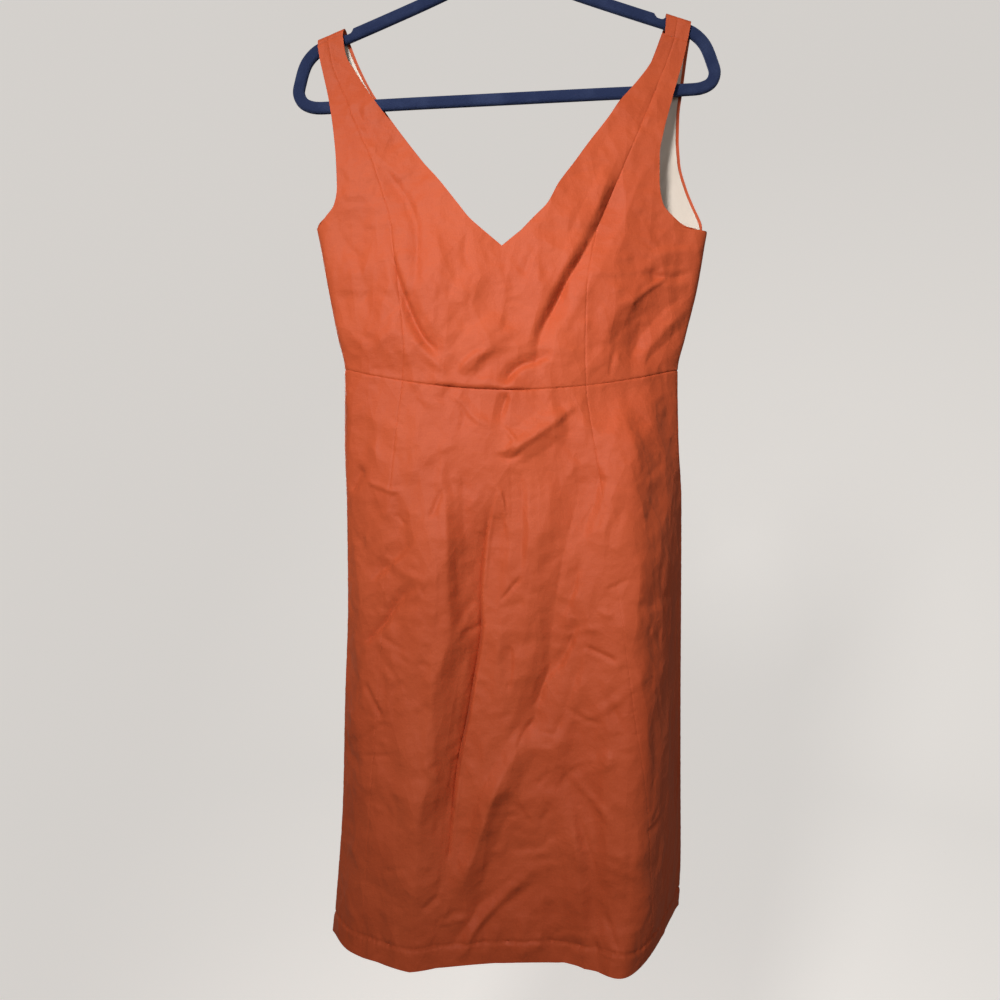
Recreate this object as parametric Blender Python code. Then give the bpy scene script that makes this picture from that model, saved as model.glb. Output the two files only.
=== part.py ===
"""A sleeveless V-neck a-line dress hanging on a slim flocked clothes hanger.

Metres, +Z up, the dress faces -Y.  The origin is where the hanger's hook rests: the inner top of its curve.
Left and right are as seen from the front.  Levels are heights below that point, read at the side seams.
"""

from collections import namedtuple
from math import cos, pi, radians, sin, tan

import bmesh
import bpy
import numpy as np
from mathutils import Matrix, Vector

# ---------------------------------------------------------------- driving dimensions
CLOTH = 0.0012            # interlined crisp cloth, as one wall
LINING = 0.0010
SEAM_GAP = 0.0003         # between two pieces at a seam, and between the lining and the cloth
UNDERARM = -0.3590
NECK_POINT = -0.3733      # level of the row that carries the point of both V necks
WAIST = -0.5050
HEM = -1.0920
MIDDLE_X = 0.0051         # where the front V points
BACK_MIDDLE_X = 0.0070

HANGER_TILT = radians(2.9)      # the right end hangs higher
HANGER_HALF_DEPTH = 0.0032
HANGER_HALF_HEIGHT = 0.0063
ARM_AT = (0.1700, -0.1535)      # a point on the middle line of the arm, where the strap lies
ARM_SLOPE = radians(20.7)
HOOK_WIRE = 0.0040              # diameter
HOOK_INNER_RADIUS = 0.0170
HOOK_STEM_TOP = -0.0520
HOOK_ELBOW_X = 0.0022           # the wire leans out here before it turns into the bend
HOOK_START = radians(-62)       # the bend, as angles round its middle
HOOK_END = radians(196)
HOOK_STEPS = 13
NECK_TOP = -0.0800
NECK_BLOCK_WIDTH = 0.0140       # the block at the frame's neck
NECK_BLOCK_DEPTH = 0.0074
NECK_BLOCK_HEIGHT = 0.0150
NECK_RISE = 0.0030              # its top lies this far above NECK_TOP
NECK_BEVEL = 0.0028
FERRULE_RADIUS = 0.0055
FERRULE_HEIGHT = 0.0120
FERRULE_TAPER = 0.62            # its top radius as a share of its foot's
FERRULE_BEVEL = 0.0006

WRAP_INNER = HANGER_HALF_DEPTH + SEAM_GAP                    # inside of the lining over the arm
WRAP_RADIUS = WRAP_INNER + LINING + SEAM_GAP + CLOTH / 2     # middle of the cloth over the arm
STRAP_SEAM_DROP = {"left": 0.0020, "right": 0.0185}          # below the arm's top, on the front
WRAP_STEPS = 8

# Where the columns of a panel lie, as shares of its width.
# A back panel has one just inside its outer edge, where its lining ends.
SIDE_COLUMNS = {"front": (0, 0.085, 0.22, 0.46, 0.73, 1), "back": (0, 0.045, 0.12, 0.38, 0.68, 1)}
MIDDLE_COLUMNS = {"front": tuple(np.linspace(0, 1, 8)), "back": tuple(np.linspace(0, 1, 6))}
BODICE_ROWS = 8
SKIRT_ROWS = 21
RIB_STEPS = 2

LINING_LEVEL = -0.4300    # the lining is built down to here
LINING_EDGE = 0.0015      # it stops short of the cloth's neck edge

ZIP_BOTTOM = -0.6000
ZIP_EDGE = 0.0006         # the lining stops this far from the tape
ZIP_HALF_WIDTH = 0.0020
ZIP_THICKNESS = 0.0008
ZIP_GAP = 0.0005          # between the strip and the panels, which turn a tight bend there
SLIDER_LEVEL = -0.3665
SLIDER_SLOT = 0.0023      # the seam opens to this width where the slider sits
CAP_WIDTH = 0.0046        # the slider's cap lies on the cloth
CAP_LENGTH = 0.0090
CAP_THICKNESS = 0.0012
NECK_WIDTH = 0.0009       # its neck goes through the seam
NECK_LENGTH = 0.0070
EAR_WIDTH = 0.0008        # its two ears hold the pin
EAR_HEIGHT = 0.0036
EAR_LENGTH = 0.0026
EAR_OUT = 0.0019          # from the middle of the cap
PIN_RADIUS = 0.0007
PIN_LENGTH = 0.0040
PIN_HEIGHT = 0.0022       # of the pin's middle above the cap
SLIDER_BEVEL = 0.0003
RING_WIDTH = 0.0024       # the pull's ring, on the pin
RING_WALL = 0.0008
PULL_LENGTH = 0.0190
PULL_WIDTH = 0.0050
PULL_NECK = 0.0040        # the pull stays as narrow as its ring down to here
PULL_THICKNESS = 0.0012

# ---------------------------------------------------------------- tables
# One closed section of the body for each level.  y at named places round it; the front has negative y.
Section = namedtuple("Section", "level left_x left_y near_left front_left front_mid front_right "
                                "corner_x corner_y right_x right_y back_right back_mid back_left")
SECTIONS = [Section(*row) for row in (
    (-.120, -.235, .000, -.0054, -.0054, -.0054, -.0054, .208, -.0054, .250, .000, .0054, .0054, .0054),
    (-.176, -.230, .000, -.0054, -.0054, -.0054, -.0054, .206, -.0054, .248, .000, .0054, .0054, .0054),
    (-.205, -.222, .000, -.0074, -.0090, -.0120, -.0090, .202, -.0078, .243, .000, .0070, .0080, .0070),
    (-.250, -.212, .000, -.0112, -.0160, -.0200, -.0165, .196, -.0125, .236, .000, .0100, .0120, .0098),
    (-.300, -.204, .000, -.0150, -.0220, -.0270, -.0245, .190, -.0160, .230, .000, .0120, .0160, .0112),
    (-.359, -.1862, -.001, -.0140, -.0290, -.0330, -.0330, .185, -.0130, .2178, .000, .0105, .0190, .0100),
    (-.420, -.1748, .000, -.0180, -.0370, -.0370, -.0400, .170, -.0180, .2085, .004, .0160, .0210, .0130),
    (-.471, -.1648, .000, -.0180, -.0370, -.0390, -.0390, .158, -.0180, .1968, .007, .0175, .0220, .0135),
    (-.505, -.1574, .000, -.0180, -.0340, -.0400, -.0370, .152, -.0180, .1896, .009, .0190, .0225, .0140),
    (-.5775, -.1577, .000, -.0200, -.0380, -.0460, -.0450, .132, -.0440, .1912, .012, .0260, .0260, .0160),
    (-.646, -.1558, .002, -.0240, -.0430, -.0500, -.0530, .136, -.0550, .1958, .018, .0320, .0290, .0190),
    (-.744, -.1549, .003, -.0280, -.0470, -.0520, -.0570, .138, -.0620, .1965, .022, .0370, .0330, .0210),
    (-.848, -.1581, .004, -.0300, -.0500, -.0530, -.0590, .136, -.0680, .1969, .026, .0410, .0370, .0230),
    (-.952, -.1607, .006, -.0300, -.0540, -.0550, -.0610, .135, -.0740, .1978, .030, .0450, .0410, .0260),
    (-1.041, -.1669, .008, -.0310, -.0570, -.0560, -.0620, .131, -.0800, .1990, .035, .0490, .0440, .0280),
    (HEM, -.1717, .0095, -.0310, -.0590, -.0560, -.0620, .117, -.0860, .1970, .038, .0520, .0460, .0290),
)]
NEAR_LEFT_IN = 0.0260     # distance of that place from the left edge
FRONT_LEFT_X = -0.0850
FRONT_MID_X = 0.0000
FRONT_RIGHT_X = 0.0780
BACK_IN = 0.0450          # of back_left and back_right from their edges
ROUND_IN = 0.0040         # the side edges are soft bends, not sharp creases
ROUND_MOST = 0.0080

# Where the long seams run.  side_right is how far the right side seam lies in front of the right edge.
Seam = namedtuple("Seam", "level front_left front_right side_right back_left back_right")
SEAMS = [
    Seam(-0.359, -0.1062, 0.1015, -0.0080, -0.1150, 0.1160),
    Seam(-0.420, -0.0990, 0.0890, -0.0070, -0.1080, 0.1120),
    Seam(-0.471, -0.0930, 0.0880, -0.0010, -0.0980, 0.1080),
    Seam(-0.505, -0.0950, 0.0893, 0.0060, -0.0920, 0.1060),
    Seam(-0.5775, -0.1030, 0.0975, 0.0055, -0.0960, 0.1100),
    Seam(-0.646, -0.1085, 0.1050, 0.0020, -0.1010, 0.1140),
    Seam(-0.744, -0.1130, 0.1185, 0.0000, -0.1060, 0.1180),
    Seam(-0.848, -0.1190, 0.1305, 0.0000, -0.1110, 0.1220),
    Seam(-0.952, -0.1260, 0.1445, 0.0000, -0.1160, 0.1260),
    Seam(HEM, -0.1340, 0.1500, 0.0000, -0.1220, 0.1300),
]

# How far a level line hangs down in the middle of the front and of the back,
# and how much higher it ends on the right.
Sag = namedtuple("Sag", "level front back lift")
SAGS = [
    Sag(-0.359, 0.0105, 0.0020, -0.0035),
    Sag(NECK_POINT, 0.0120, 0.0030, -0.0030),
    Sag(-0.440, 0.0200, 0.0060, 0.0000),
    Sag(-0.505, 0.0265, 0.0080, 0.0010),
    Sag(-0.700, 0.0120, 0.0060, 0.0050),
    Sag(-0.900, 0.0020, 0.0020, 0.0090),
    Sag(HEM, 0.0010, 0.0000, 0.0120),
]

# The upper bodice, a row for each rib from the armhole's edge to the neck's edge, from the underarm up.
# The last rib of each table lies at the strap's top and takes its height from the hanger's arm.
Rib = namedtuple("Rib", "outer_x outer_z seam_x inner_x inner_z")
RIBS = {
    ("front", "left"): [
        Rib(-0.1862, -0.3590, -0.1062, -0.0150, -0.3692),
        Rib(-0.1742, -0.3480, -0.1088, -0.0275, -0.3576),
        Rib(-0.1667, -0.3389, -0.1117, -0.0388, -0.3430),
        Rib(-0.1629, -0.3200, -0.1187, -0.0580, -0.3180),
        Rib(-0.1637, -0.2950, -0.1268, -0.0785, -0.2938),
        Rib(-0.1668, -0.2650, -0.1402, -0.0996, -0.2650),
        Rib(-0.1723, -0.2303, -0.1544, -0.1258, -0.2301),
        Rib(-0.1785, -0.2030, -0.1654, -0.1432, -0.2030),
        Rib(-0.1829, -0.1840, -0.1715, -0.1560, -0.1795),
        Rib(-0.1850, 0.0, -0.1740, -0.1593, 0.0),
    ],
    ("front", "right"): [
        Rib(0.2178, -0.3625, 0.1015, 0.0245, -0.3708),
        Rib(0.1960, -0.3600, 0.1043, 0.0370, -0.3578),
        Rib(0.1790, -0.3490, 0.1096, 0.0500, -0.3443),
        Rib(0.1690, -0.3370, 0.1170, 0.0625, -0.3218),
        Rib(0.1655, -0.3150, 0.1257, 0.0770, -0.3015),
        Rib(0.1655, -0.2900, 0.1358, 0.0935, -0.2775),
        Rib(0.1700, -0.2650, 0.1463, 0.1120, -0.2525),
        Rib(0.1770, -0.2390, 0.1565, 0.1270, -0.2300),
        Rib(0.1850, -0.2110, 0.1663, 0.1445, -0.2090),
        Rib(0.1915, -0.1890, 0.1750, 0.1590, -0.1885),
        Rib(0.1970, 0.0, 0.1840, 0.1738, 0.0),
    ],
    ("back", "left"): [
        Rib(-0.1862, -0.3590, -0.1150, -0.0090, -0.3635),
        Rib(-0.1752, -0.3473, -0.1160, -0.0180, -0.3540),
        Rib(-0.1680, -0.3360, -0.1180, -0.0310, -0.3410),
        Rib(-0.1640, -0.3140, -0.1230, -0.0490, -0.3210),
        Rib(-0.1650, -0.2870, -0.1300, -0.0720, -0.2900),
        Rib(-0.1678, -0.2600, -0.1395, -0.0945, -0.2620),
        Rib(-0.1718, -0.2350, -0.1500, -0.1135, -0.2370),
        Rib(-0.1776, -0.2080, -0.1620, -0.1325, -0.2090),
        Rib(-0.1826, -0.1860, -0.1690, -0.1455, -0.1830),
        Rib(-0.1850, 0.0, -0.1735, -0.1560, 0.0),
    ],
    ("back", "right"): [
        Rib(0.2178, -0.3625, 0.1160, 0.0215, -0.3635),
        Rib(0.2142, -0.3480, 0.1175, 0.0310, -0.3530),
        Rib(0.2080, -0.3329, 0.1195, 0.0440, -0.3380),
        Rib(0.1998, -0.3107, 0.1245, 0.0630, -0.3160),
        Rib(0.1934, -0.2852, 0.1330, 0.0860, -0.2880),
        Rib(0.1918, -0.2600, 0.1435, 0.1080, -0.2600),
        Rib(0.1923, -0.2350, 0.1550, 0.1290, -0.2330),
        Rib(0.1955, -0.2080, 0.1675, 0.1480, -0.2080),
        Rib(0.1990, -0.1784, 0.1790, 0.1615, -0.1810),
        Rib(0.2035, 0.0, 0.1890, 0.1765, 0.0),
    ],
}

# The largest folds of the hanging cloth: a curve through three places, its depth (a ridge is negative),
# and how far it spreads to its left and its right.
Fold = namedtuple("Fold", "side x1 z1 x2 z2 x3 z3 depth left right")
FOLDS = [
    Fold("front", 0.004, -0.620, -0.020, -0.780, -0.048, -1.000, 0.0105, 0.030, 0.010),   # long valley
    Fold("front", -0.052, -0.600, -0.062, -0.800, -0.080, -1.080, -0.0050, 0.022, 0.016),  # its left lip
    Fold("front", 0.008, -0.900, -0.016, -0.960, -0.042, -1.020, -0.0060, 0.012, 0.014),
    Fold("front", 0.088, -0.600, 0.060, -0.720, 0.048, -0.820, 0.0060, 0.016, 0.020),
    Fold("front", 0.058, -0.780, 0.040, -0.840, 0.028, -0.880, 0.0050, 0.012, 0.012),
    Fold("front", 0.072, -0.920, 0.078, -0.990, 0.080, -1.070, -0.0045, 0.016, 0.012),
    Fold("front", 0.100, -0.780, 0.108, -0.900, 0.104, -1.020, -0.0040, 0.018, 0.016),
    Fold("front", 0.070, -0.552, 0.040, -0.575, 0.008, -0.596, -0.0050, 0.010, 0.012),
    Fold("front", -0.070, -0.580, -0.085, -0.640, -0.130, -0.730, 0.0040, 0.014, 0.014),
    Fold("front", -0.080, -0.720, -0.110, -0.760, -0.145, -0.800, 0.0035, 0.014, 0.014),
    Fold("front", 0.160, -0.620, 0.150, -0.660, 0.152, -0.700, 0.0050, 0.012, 0.012),
    Fold("front", 0.000, -0.640, 0.012, -0.680, 0.014, -0.600, 0.0030, 0.012, 0.012),
    Fold("front", 0.140, -0.275, 0.104, -0.360, 0.042, -0.470, 0.0090, 0.016, 0.010),   # from strap to waist
    Fold("front", 0.124, -0.300, 0.088, -0.380, 0.064, -0.450, -0.0045, 0.010, 0.014),
    Fold("front", -0.118, -0.300, -0.085, -0.360, -0.082, -0.440, 0.0060, 0.010, 0.014),
    Fold("front", -0.100, -0.425, -0.078, -0.475, -0.050, -0.495, 0.0050, 0.010, 0.010),
    Fold("front", -0.040, -0.515, -0.010, -0.480, 0.012, -0.462, -0.0050, 0.012, 0.010),
    Fold("front", 0.165, -0.440, 0.120, -0.475, 0.104, -0.500, 0.0045, 0.012, 0.012),
    Fold("front", 0.150, -0.410, 0.172, -0.402, 0.196, -0.400, 0.0030, 0.010, 0.010),
    Fold("back", -0.060, -0.560, -0.066, -0.800, -0.080, -1.087, 0.0090, 0.030, 0.026),
    Fold("back", 0.060, -0.600, 0.070, -0.820, 0.082, -1.087, 0.0100, 0.028, 0.030),
    Fold("back", -0.004, -0.700, 0.000, -0.900, 0.002, -1.087, -0.0050, 0.030, 0.030),
    Fold("back", -0.120, -0.300, -0.090, -0.380, -0.060, -0.470, 0.0040, 0.018, 0.018),
    Fold("back", 0.126, -0.300, 0.096, -0.380, 0.070, -0.470, 0.0045, 0.018, 0.018),
]
FOLD_SPANS = 10

# Colour (linear), roughness and metallic value of each material.
Finish = namedtuple("Finish", "colour roughness metallic")
FINISHES = {
    "orange_cloth": Finish((0.60, 0.15, 0.07), 0.62, 0.0),
    "cream_lining": Finish((0.78, 0.64, 0.53), 0.45, 0.0),
    "blue_flock": Finish((0.022, 0.040, 0.120), 0.95, 0.0),
    "hook_steel": Finish((0.62, 0.62, 0.63), 0.25, 1.0),
    "zip_enamel": Finish((0.58, 0.15, 0.07), 0.35, 0.0),
}


# ---------------------------------------------------------------- curves and tables
def smooth_column(levels, values, at):
    """A monotone cubic through the table's values, so nothing between two rows overshoots them."""
    order = np.argsort(levels)
    x = np.asarray(levels, float)[order]
    y = np.asarray(values, float)[order]
    step = np.diff(x)
    rise = np.diff(y) / step
    slope = np.zeros(len(x))
    for i in range(1, len(x) - 1):
        if rise[i - 1] * rise[i] > 0:
            wide = 2 * step[i] + step[i - 1]
            near = step[i] + 2 * step[i - 1]
            slope[i] = (wide + near) / (wide / rise[i - 1] + near / rise[i])
    slope[0] = rise[0]
    slope[-1] = rise[-1]
    at = min(max(at, x[0]), x[-1])
    i = min(int(np.searchsorted(x, at, side="right")) - 1, len(step) - 1)
    t = (at - x[i]) / step[i]
    hermite = ((2 * t - 3) * t * t + 1) * y[i] + (3 - 2 * t) * t * t * y[i + 1]
    return hermite + step[i] * (t * (1 - t) ** 2 * slope[i] - t * t * (1 - t) * slope[i + 1])


def row_at(table, level):
    """The table's named columns at any level between its rows."""
    levels = [row.level for row in table]
    values = [smooth_column(levels, [getattr(row, name) for row in table], level) for name in table[0]._fields]
    return type(table[0])(*values)


def through(points, steps, closed):
    """A centripetal Catmull-Rom curve through the points."""
    points = [np.asarray(p, float) for p in points]
    count = len(points)
    if closed:
        padded = [points[-1]] + points + points[:2]
        spans = count
    else:
        padded = [2 * points[0] - points[1]] + points + [2 * points[-1] - points[-2]]
        spans = count - 1
    line = []
    for i in range(spans):
        p0, p1, p2, p3 = padded[i:i + 4]
        t1 = np.linalg.norm(p1 - p0) ** 0.5
        t2 = t1 + np.linalg.norm(p2 - p1) ** 0.5
        t3 = t2 + np.linalg.norm(p3 - p2) ** 0.5
        for k in range(steps):
            t = t1 + (t2 - t1) * k / steps
            a1 = (t1 - t) / t1 * p0 + t / t1 * p1
            a2 = (t2 - t) / (t2 - t1) * p1 + (t - t1) / (t2 - t1) * p2
            a3 = (t3 - t) / (t3 - t2) * p2 + (t - t2) / (t3 - t2) * p3
            b1 = (t2 - t) / t2 * a1 + t / t2 * a2
            b2 = (t3 - t) / (t3 - t1) * a2 + (t - t1) / (t3 - t1) * a3
            line.append((t2 - t) / (t2 - t1) * b1 + (t - t1) / (t2 - t1) * b2)
    if not closed:
        line.append(points[-1])
    return np.array(line)


# ---------------------------------------------------------------- the cloth's surface
def rounded(depth):
    """How deep a side edge's soft bend reaches before the panel runs on."""
    return max(min(depth * 0.55, ROUND_MOST), -ROUND_MOST)


class Body:
    """The closed section at one level, measured along its length from the left edge by way of the front."""

    made = {}

    def __init__(self, level):
        row = row_at(SECTIONS, level)
        outline = through([
            (row.left_x, row.left_y),
            (row.left_x + ROUND_IN, row.left_y + rounded(row.near_left - row.left_y)),
            (row.left_x + NEAR_LEFT_IN, row.near_left),
            (FRONT_LEFT_X, row.front_left),
            (FRONT_MID_X, row.front_mid),
            (FRONT_RIGHT_X, row.front_right),
            (row.corner_x, row.corner_y),
            (row.right_x - ROUND_IN, row.right_y + rounded(row.corner_y - row.right_y)),
            (row.right_x, row.right_y),
            (row.right_x - ROUND_IN, row.right_y + rounded(row.back_right - row.right_y)),
            (row.right_x - BACK_IN, row.back_right),
            (MIDDLE_X, row.back_mid),
            (row.left_x + BACK_IN, row.back_left),
            (row.left_x + ROUND_IN, row.left_y + rounded(row.back_left - row.left_y)),
        ], 14, closed=True)
        outline = np.roll(outline, -int(np.argmin(outline[:, 0])), axis=0)
        outline = np.vstack([outline, outline[:1]])
        self.level = level
        self.points = outline
        self.length = np.concatenate([[0], np.cumsum(np.linalg.norm(np.diff(outline, axis=0), axis=1))])
        self.edge = int(np.argmax(outline[:, 0]))
        self.sag = row_at(SAGS, level)
        self.left_x = outline[0, 0]
        self.right_x = outline[self.edge, 0]

    @classmethod
    def at(cls, level):
        key = round(level, 6)
        if key not in cls.made:
            cls.made[key] = cls(level)
        return cls.made[key]

    def along(self, side, x):
        """How far round the section a given x lies, on its front or its back."""
        if side == "front":
            return float(np.interp(x, self.points[:self.edge + 1, 0], self.length[:self.edge + 1]))
        return float(np.interp(x, self.points[self.edge:, 0][::-1], self.length[self.edge:][::-1]))

    def flat(self, distance):
        """x, y and the outward direction at a distance round the section."""
        total = self.length[-1]
        distance %= total
        x = np.interp(distance, self.length, self.points[:, 0])
        y = np.interp(distance, self.length, self.points[:, 1])
        reach = 0.004
        near = [(distance + reach) % total, (distance - reach) % total]
        dx = -np.diff(np.interp(near, self.length, self.points[:, 0]))[0]
        dy = -np.diff(np.interp(near, self.length, self.points[:, 1]))[0]
        size = (dx * dx + dy * dy) ** 0.5
        return x, y, dy / size, -dx / size

    def place(self, distance, z=None):
        """The folded cloth's point there; below the underarm its height comes from the level's sag."""
        x, y, out_x, out_y = self.flat(distance)
        front = (distance % self.length[-1]) <= self.length[self.edge]
        if z is None:
            across = (x - self.left_x) / (self.right_x - self.left_x)
            hang = 1 - (2 * across - 1) ** 2
            z = self.level + self.sag.lift * across - hang * (self.sag.front if front else self.sag.back)
        push = -fold_depth("front" if front else "back", x, z)
        return np.array([x + out_x * push, y + out_y * push, z])


def fold_lines():
    lines = []
    for fold in FOLDS:
        ends = np.array([(fold.x1, fold.z1), (fold.x2, fold.z2), (fold.x3, fold.z3)])
        lines.append((fold, through(ends, FOLD_SPANS, closed=False)))
    return lines


FOLD_LINES = fold_lines()


def fold_depth(side, x, z):
    """How far all folds together push the cloth in at a place."""
    depth = 0.0
    here = np.array([x, z])
    for fold, line in FOLD_LINES:
        if fold.side != side:
            continue
        start = line[:-1]
        run = line[1:] - start
        share = np.clip(((here - start) * run).sum(1) / (run * run).sum(1), 0, 1)
        away = here - (start + run * share[:, None])
        distance = np.hypot(away[:, 0], away[:, 1])
        nearest = int(np.argmin(distance))
        sideways = run[nearest, 0] * away[nearest, 1] - run[nearest, 1] * away[nearest, 0]
        spread = fold.right if sideways * np.sign(-run[nearest, 1]) > 0 else fold.left
        if abs(run[nearest, 0]) > abs(run[nearest, 1]):
            spread = (fold.left + fold.right) / 2
        depth += fold.depth * np.exp(-(distance[nearest] / spread) ** 2)
    return depth


def arm_top(side, x):
    """The middle of the strap's bend over the hanger's arm, at x."""
    sign = -1 if side == "left" else 1
    at_x = sign * ARM_AT[0] * cos(HANGER_TILT) - ARM_AT[1] * sin(HANGER_TILT)
    at_z = sign * ARM_AT[0] * sin(HANGER_TILT) + ARM_AT[1] * cos(HANGER_TILT)
    slope = arm_slope(side)
    centre = at_z + (x - at_x) * tan(slope)
    return centre + (HANGER_HALF_HEIGHT - HANGER_HALF_DEPTH) / cos(slope)


def arm_slope(side):
    return (ARM_SLOPE if side == "left" else -ARM_SLOPE) + HANGER_TILT


def rib_rows(face, side):
    """The ribs of the upper bodice and the rows between them, from the underarm to the strap's top."""
    table = RIBS[face, side]
    drop = STRAP_SEAM_DROP[side] if face == "front" else 0.0
    last = table[-1]
    table = table[:-1] + [last._replace(outer_z=arm_top(side, last.outer_x) - drop,
                                        inner_z=arm_top(side, last.inner_x) - drop)]
    count = (len(table) - 1) * RIB_STEPS
    rows = []
    for k in range(count + 1):
        at = k / RIB_STEPS
        columns = [smooth_column(range(len(table)), [getattr(rib, name) for rib in table], at)
                   for name in Rib._fields]
        rows.append(Rib(*columns))
    return rows


def rib_points(face, rib, start_x, end_x, columns):
    body = Body.at(rib.outer_z)
    row = []
    for column in columns:
        x = start_x + (end_x - start_x) * column
        share = (x - rib.outer_x) / (rib.inner_x - rib.outer_x)
        row.append(body.place(body.along(face, x), rib.outer_z + (rib.inner_z - rib.outer_z) * share))
    return row


def wrap_rows(side, start, end, columns):
    """The back strap from the arm's back, over its top and down to the seam on its front."""
    back = RIBS["back", side][-1]
    front = RIBS["front", side][-1]
    drop = STRAP_SEAM_DROP[side]
    whole = pi * WRAP_RADIUS + drop
    stops = [pi * WRAP_RADIUS * k / WRAP_STEPS for k in range(1, WRAP_STEPS + 1)]
    stops += [whole] if drop < 0.005 else [pi * WRAP_RADIUS + drop / 2, whole]
    rows = []
    for stop in stops:
        share = stop / whole
        edges = {name: getattr(back, name) + (getattr(front, name) - getattr(back, name)) * share
                 for name in ("outer_x", "seam_x", "inner_x")}
        row = []
        for column in columns:
            x = edges[start] + (edges[end] - edges[start]) * column
            angle = min(stop / WRAP_RADIUS, pi)
            past = max(stop - pi * WRAP_RADIUS, 0)
            rise = WRAP_RADIUS * sin(angle) / cos(arm_slope(side))
            row.append(np.array([x, WRAP_RADIUS * cos(angle), arm_top(side, x) + rise - past]))
        rows.append(row)
    return rows


def closed_row(level, first, last, columns):
    """A row of a panel below the underarm, between two seams."""
    body = Body.at(level)
    a = seam_distance(body, first)
    b = seam_distance(body, last)
    if b <= a:
        b += body.length[-1]
    return [body.place(a + (b - a) * column) for column in columns]


def seam_distance(body, seam):
    """How far round the section each seam lies."""
    row = row_at(SEAMS, body.level)
    edge = body.length[body.edge]
    return {
        "side_left": 0.0,
        "front_left": body.along("front", row.front_left),
        "front_middle": body.along("front", MIDDLE_X),
        "front_right": body.along("front", row.front_right),
        "side_right": edge - row.side_right,
        "back_right": body.along("back", row.back_right),
        "back_middle": body.along("back", BACK_MIDDLE_X),
        "back_left": body.along("back", row.back_left),
        "side_end": body.length[-1],
    }[seam]


BODICE_LEVELS = list(np.linspace(WAIST, NECK_POINT, BODICE_ROWS))
SKIRT_LEVELS = list(np.linspace(HEM, WAIST, SKIRT_ROWS + 1))


def side_grid(face, side):
    """A side panel of the bodice, columns running from the side seam or armhole to the princess seam."""
    outer = "side_left" if side == "left" else "side_right"
    if (face, side) == ("back", "left"):
        outer = "side_end"
    seam = f"{face}_{side}"
    columns = SIDE_COLUMNS[face]
    rows = [row_between(level, outer, seam, columns, face, side) for level in BODICE_LEVELS]
    rows.append(row_between(UNDERARM, outer, seam, columns, face, side))
    rows += [rib_points(face, rib, rib.outer_x, rib.seam_x, columns) for rib in rib_rows(face, side)[1:]]
    if face == "back":
        rows += wrap_rows(side, "outer_x", "seam_x", columns)
    return rows


def row_between(level, start, end, columns, face, side):
    """A row below the underarm whose columns run inwards, whichever way round the section that is."""
    if (face == "front") == (side == "left"):
        return closed_row(level, start, end, columns)
    return closed_row(level, end, start, [1 - column for column in reversed(columns)])[::-1]


def middle_grid(face, side):
    """Half of the bodice's centre panel, columns from the princess seam to the middle or the neck's edge."""
    columns = MIDDLE_COLUMNS[face]
    seam = f"{face}_{side}"
    middle = f"{face}_middle"
    rows = [row_between(level, seam, middle, columns, face, side) for level in BODICE_LEVELS]
    body = Body.at(UNDERARM)
    ribs = rib_rows(face, side)
    underarm = rib_points(face, ribs[0], ribs[0].seam_x, ribs[0].inner_x, columns)
    rows.append(shifted_start(underarm, body.place(seam_distance(body, seam))))
    rows += [rib_points(face, rib, rib.seam_x, rib.inner_x, columns) for rib in ribs[1:]]
    if face == "back":
        rows += wrap_rows(side, "seam_x", "inner_x", columns)
    return rows


def shifted_start(row, start):
    """The row again, starting at the given point and ending where it did."""
    move = start - row[0]
    last = len(row) - 1
    return [point + move * (1 - k / last) for k, point in enumerate(row)]


# ---------------------------------------------------------------- walls from the surface
def key_of(point):
    return tuple(int(round(c * 1e7)) for c in point)


def grid_faces(rows, facing):
    """The quads of a grid, turned so that they face out of the garment."""
    faces = []
    for lower, upper in zip(rows[:-1], rows[1:]):
        for k in range(len(lower) - 1):
            quad = [lower[k], lower[k + 1], upper[k + 1], upper[k]]
            faces.append(quad if facing > 0 else quad[::-1])
    return faces


NORMAL_SUMS = {}


def add_normals(faces):
    """Every panel adds its faces here, so two panels that meet share one direction along their seam."""
    for quad in faces:
        normal = np.cross(quad[2] - quad[0], quad[3] - quad[1])
        for point in quad:
            key = key_of(point)
            NORMAL_SUMS[key] = NORMAL_SUMS.get(key, 0) + normal


def normal_at(point):
    total = NORMAL_SUMS[key_of(point)]
    return total / np.linalg.norm(total)


def seam_moves(rows, insets):
    """How far each edge point of a grid moves towards the grid's inside; insets name the four edges."""
    moves = {}

    def push(point, inner, amount):
        key = key_of(point)
        run = inner - point
        step = run / np.linalg.norm(run) * amount
        moves[key] = moves.get(key, 0) + step

    for index, row in enumerate(rows):
        start = insets.get("start", 0)
        end = insets.get("end", 0)
        start = start(index) if callable(start) else start
        end = end(index) if callable(end) else end
        if start:
            push(row[0], row[1], start)
        if end:
            push(row[-1], row[-2], end)
    for name, edge, inner in (("bottom", rows[0], rows[1]), ("top", rows[-1], rows[-2])):
        amount = insets.get(name, 0)
        if amount:
            for point, behind in zip(edge, inner):
                push(point, behind, amount)
    return moves


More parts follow.
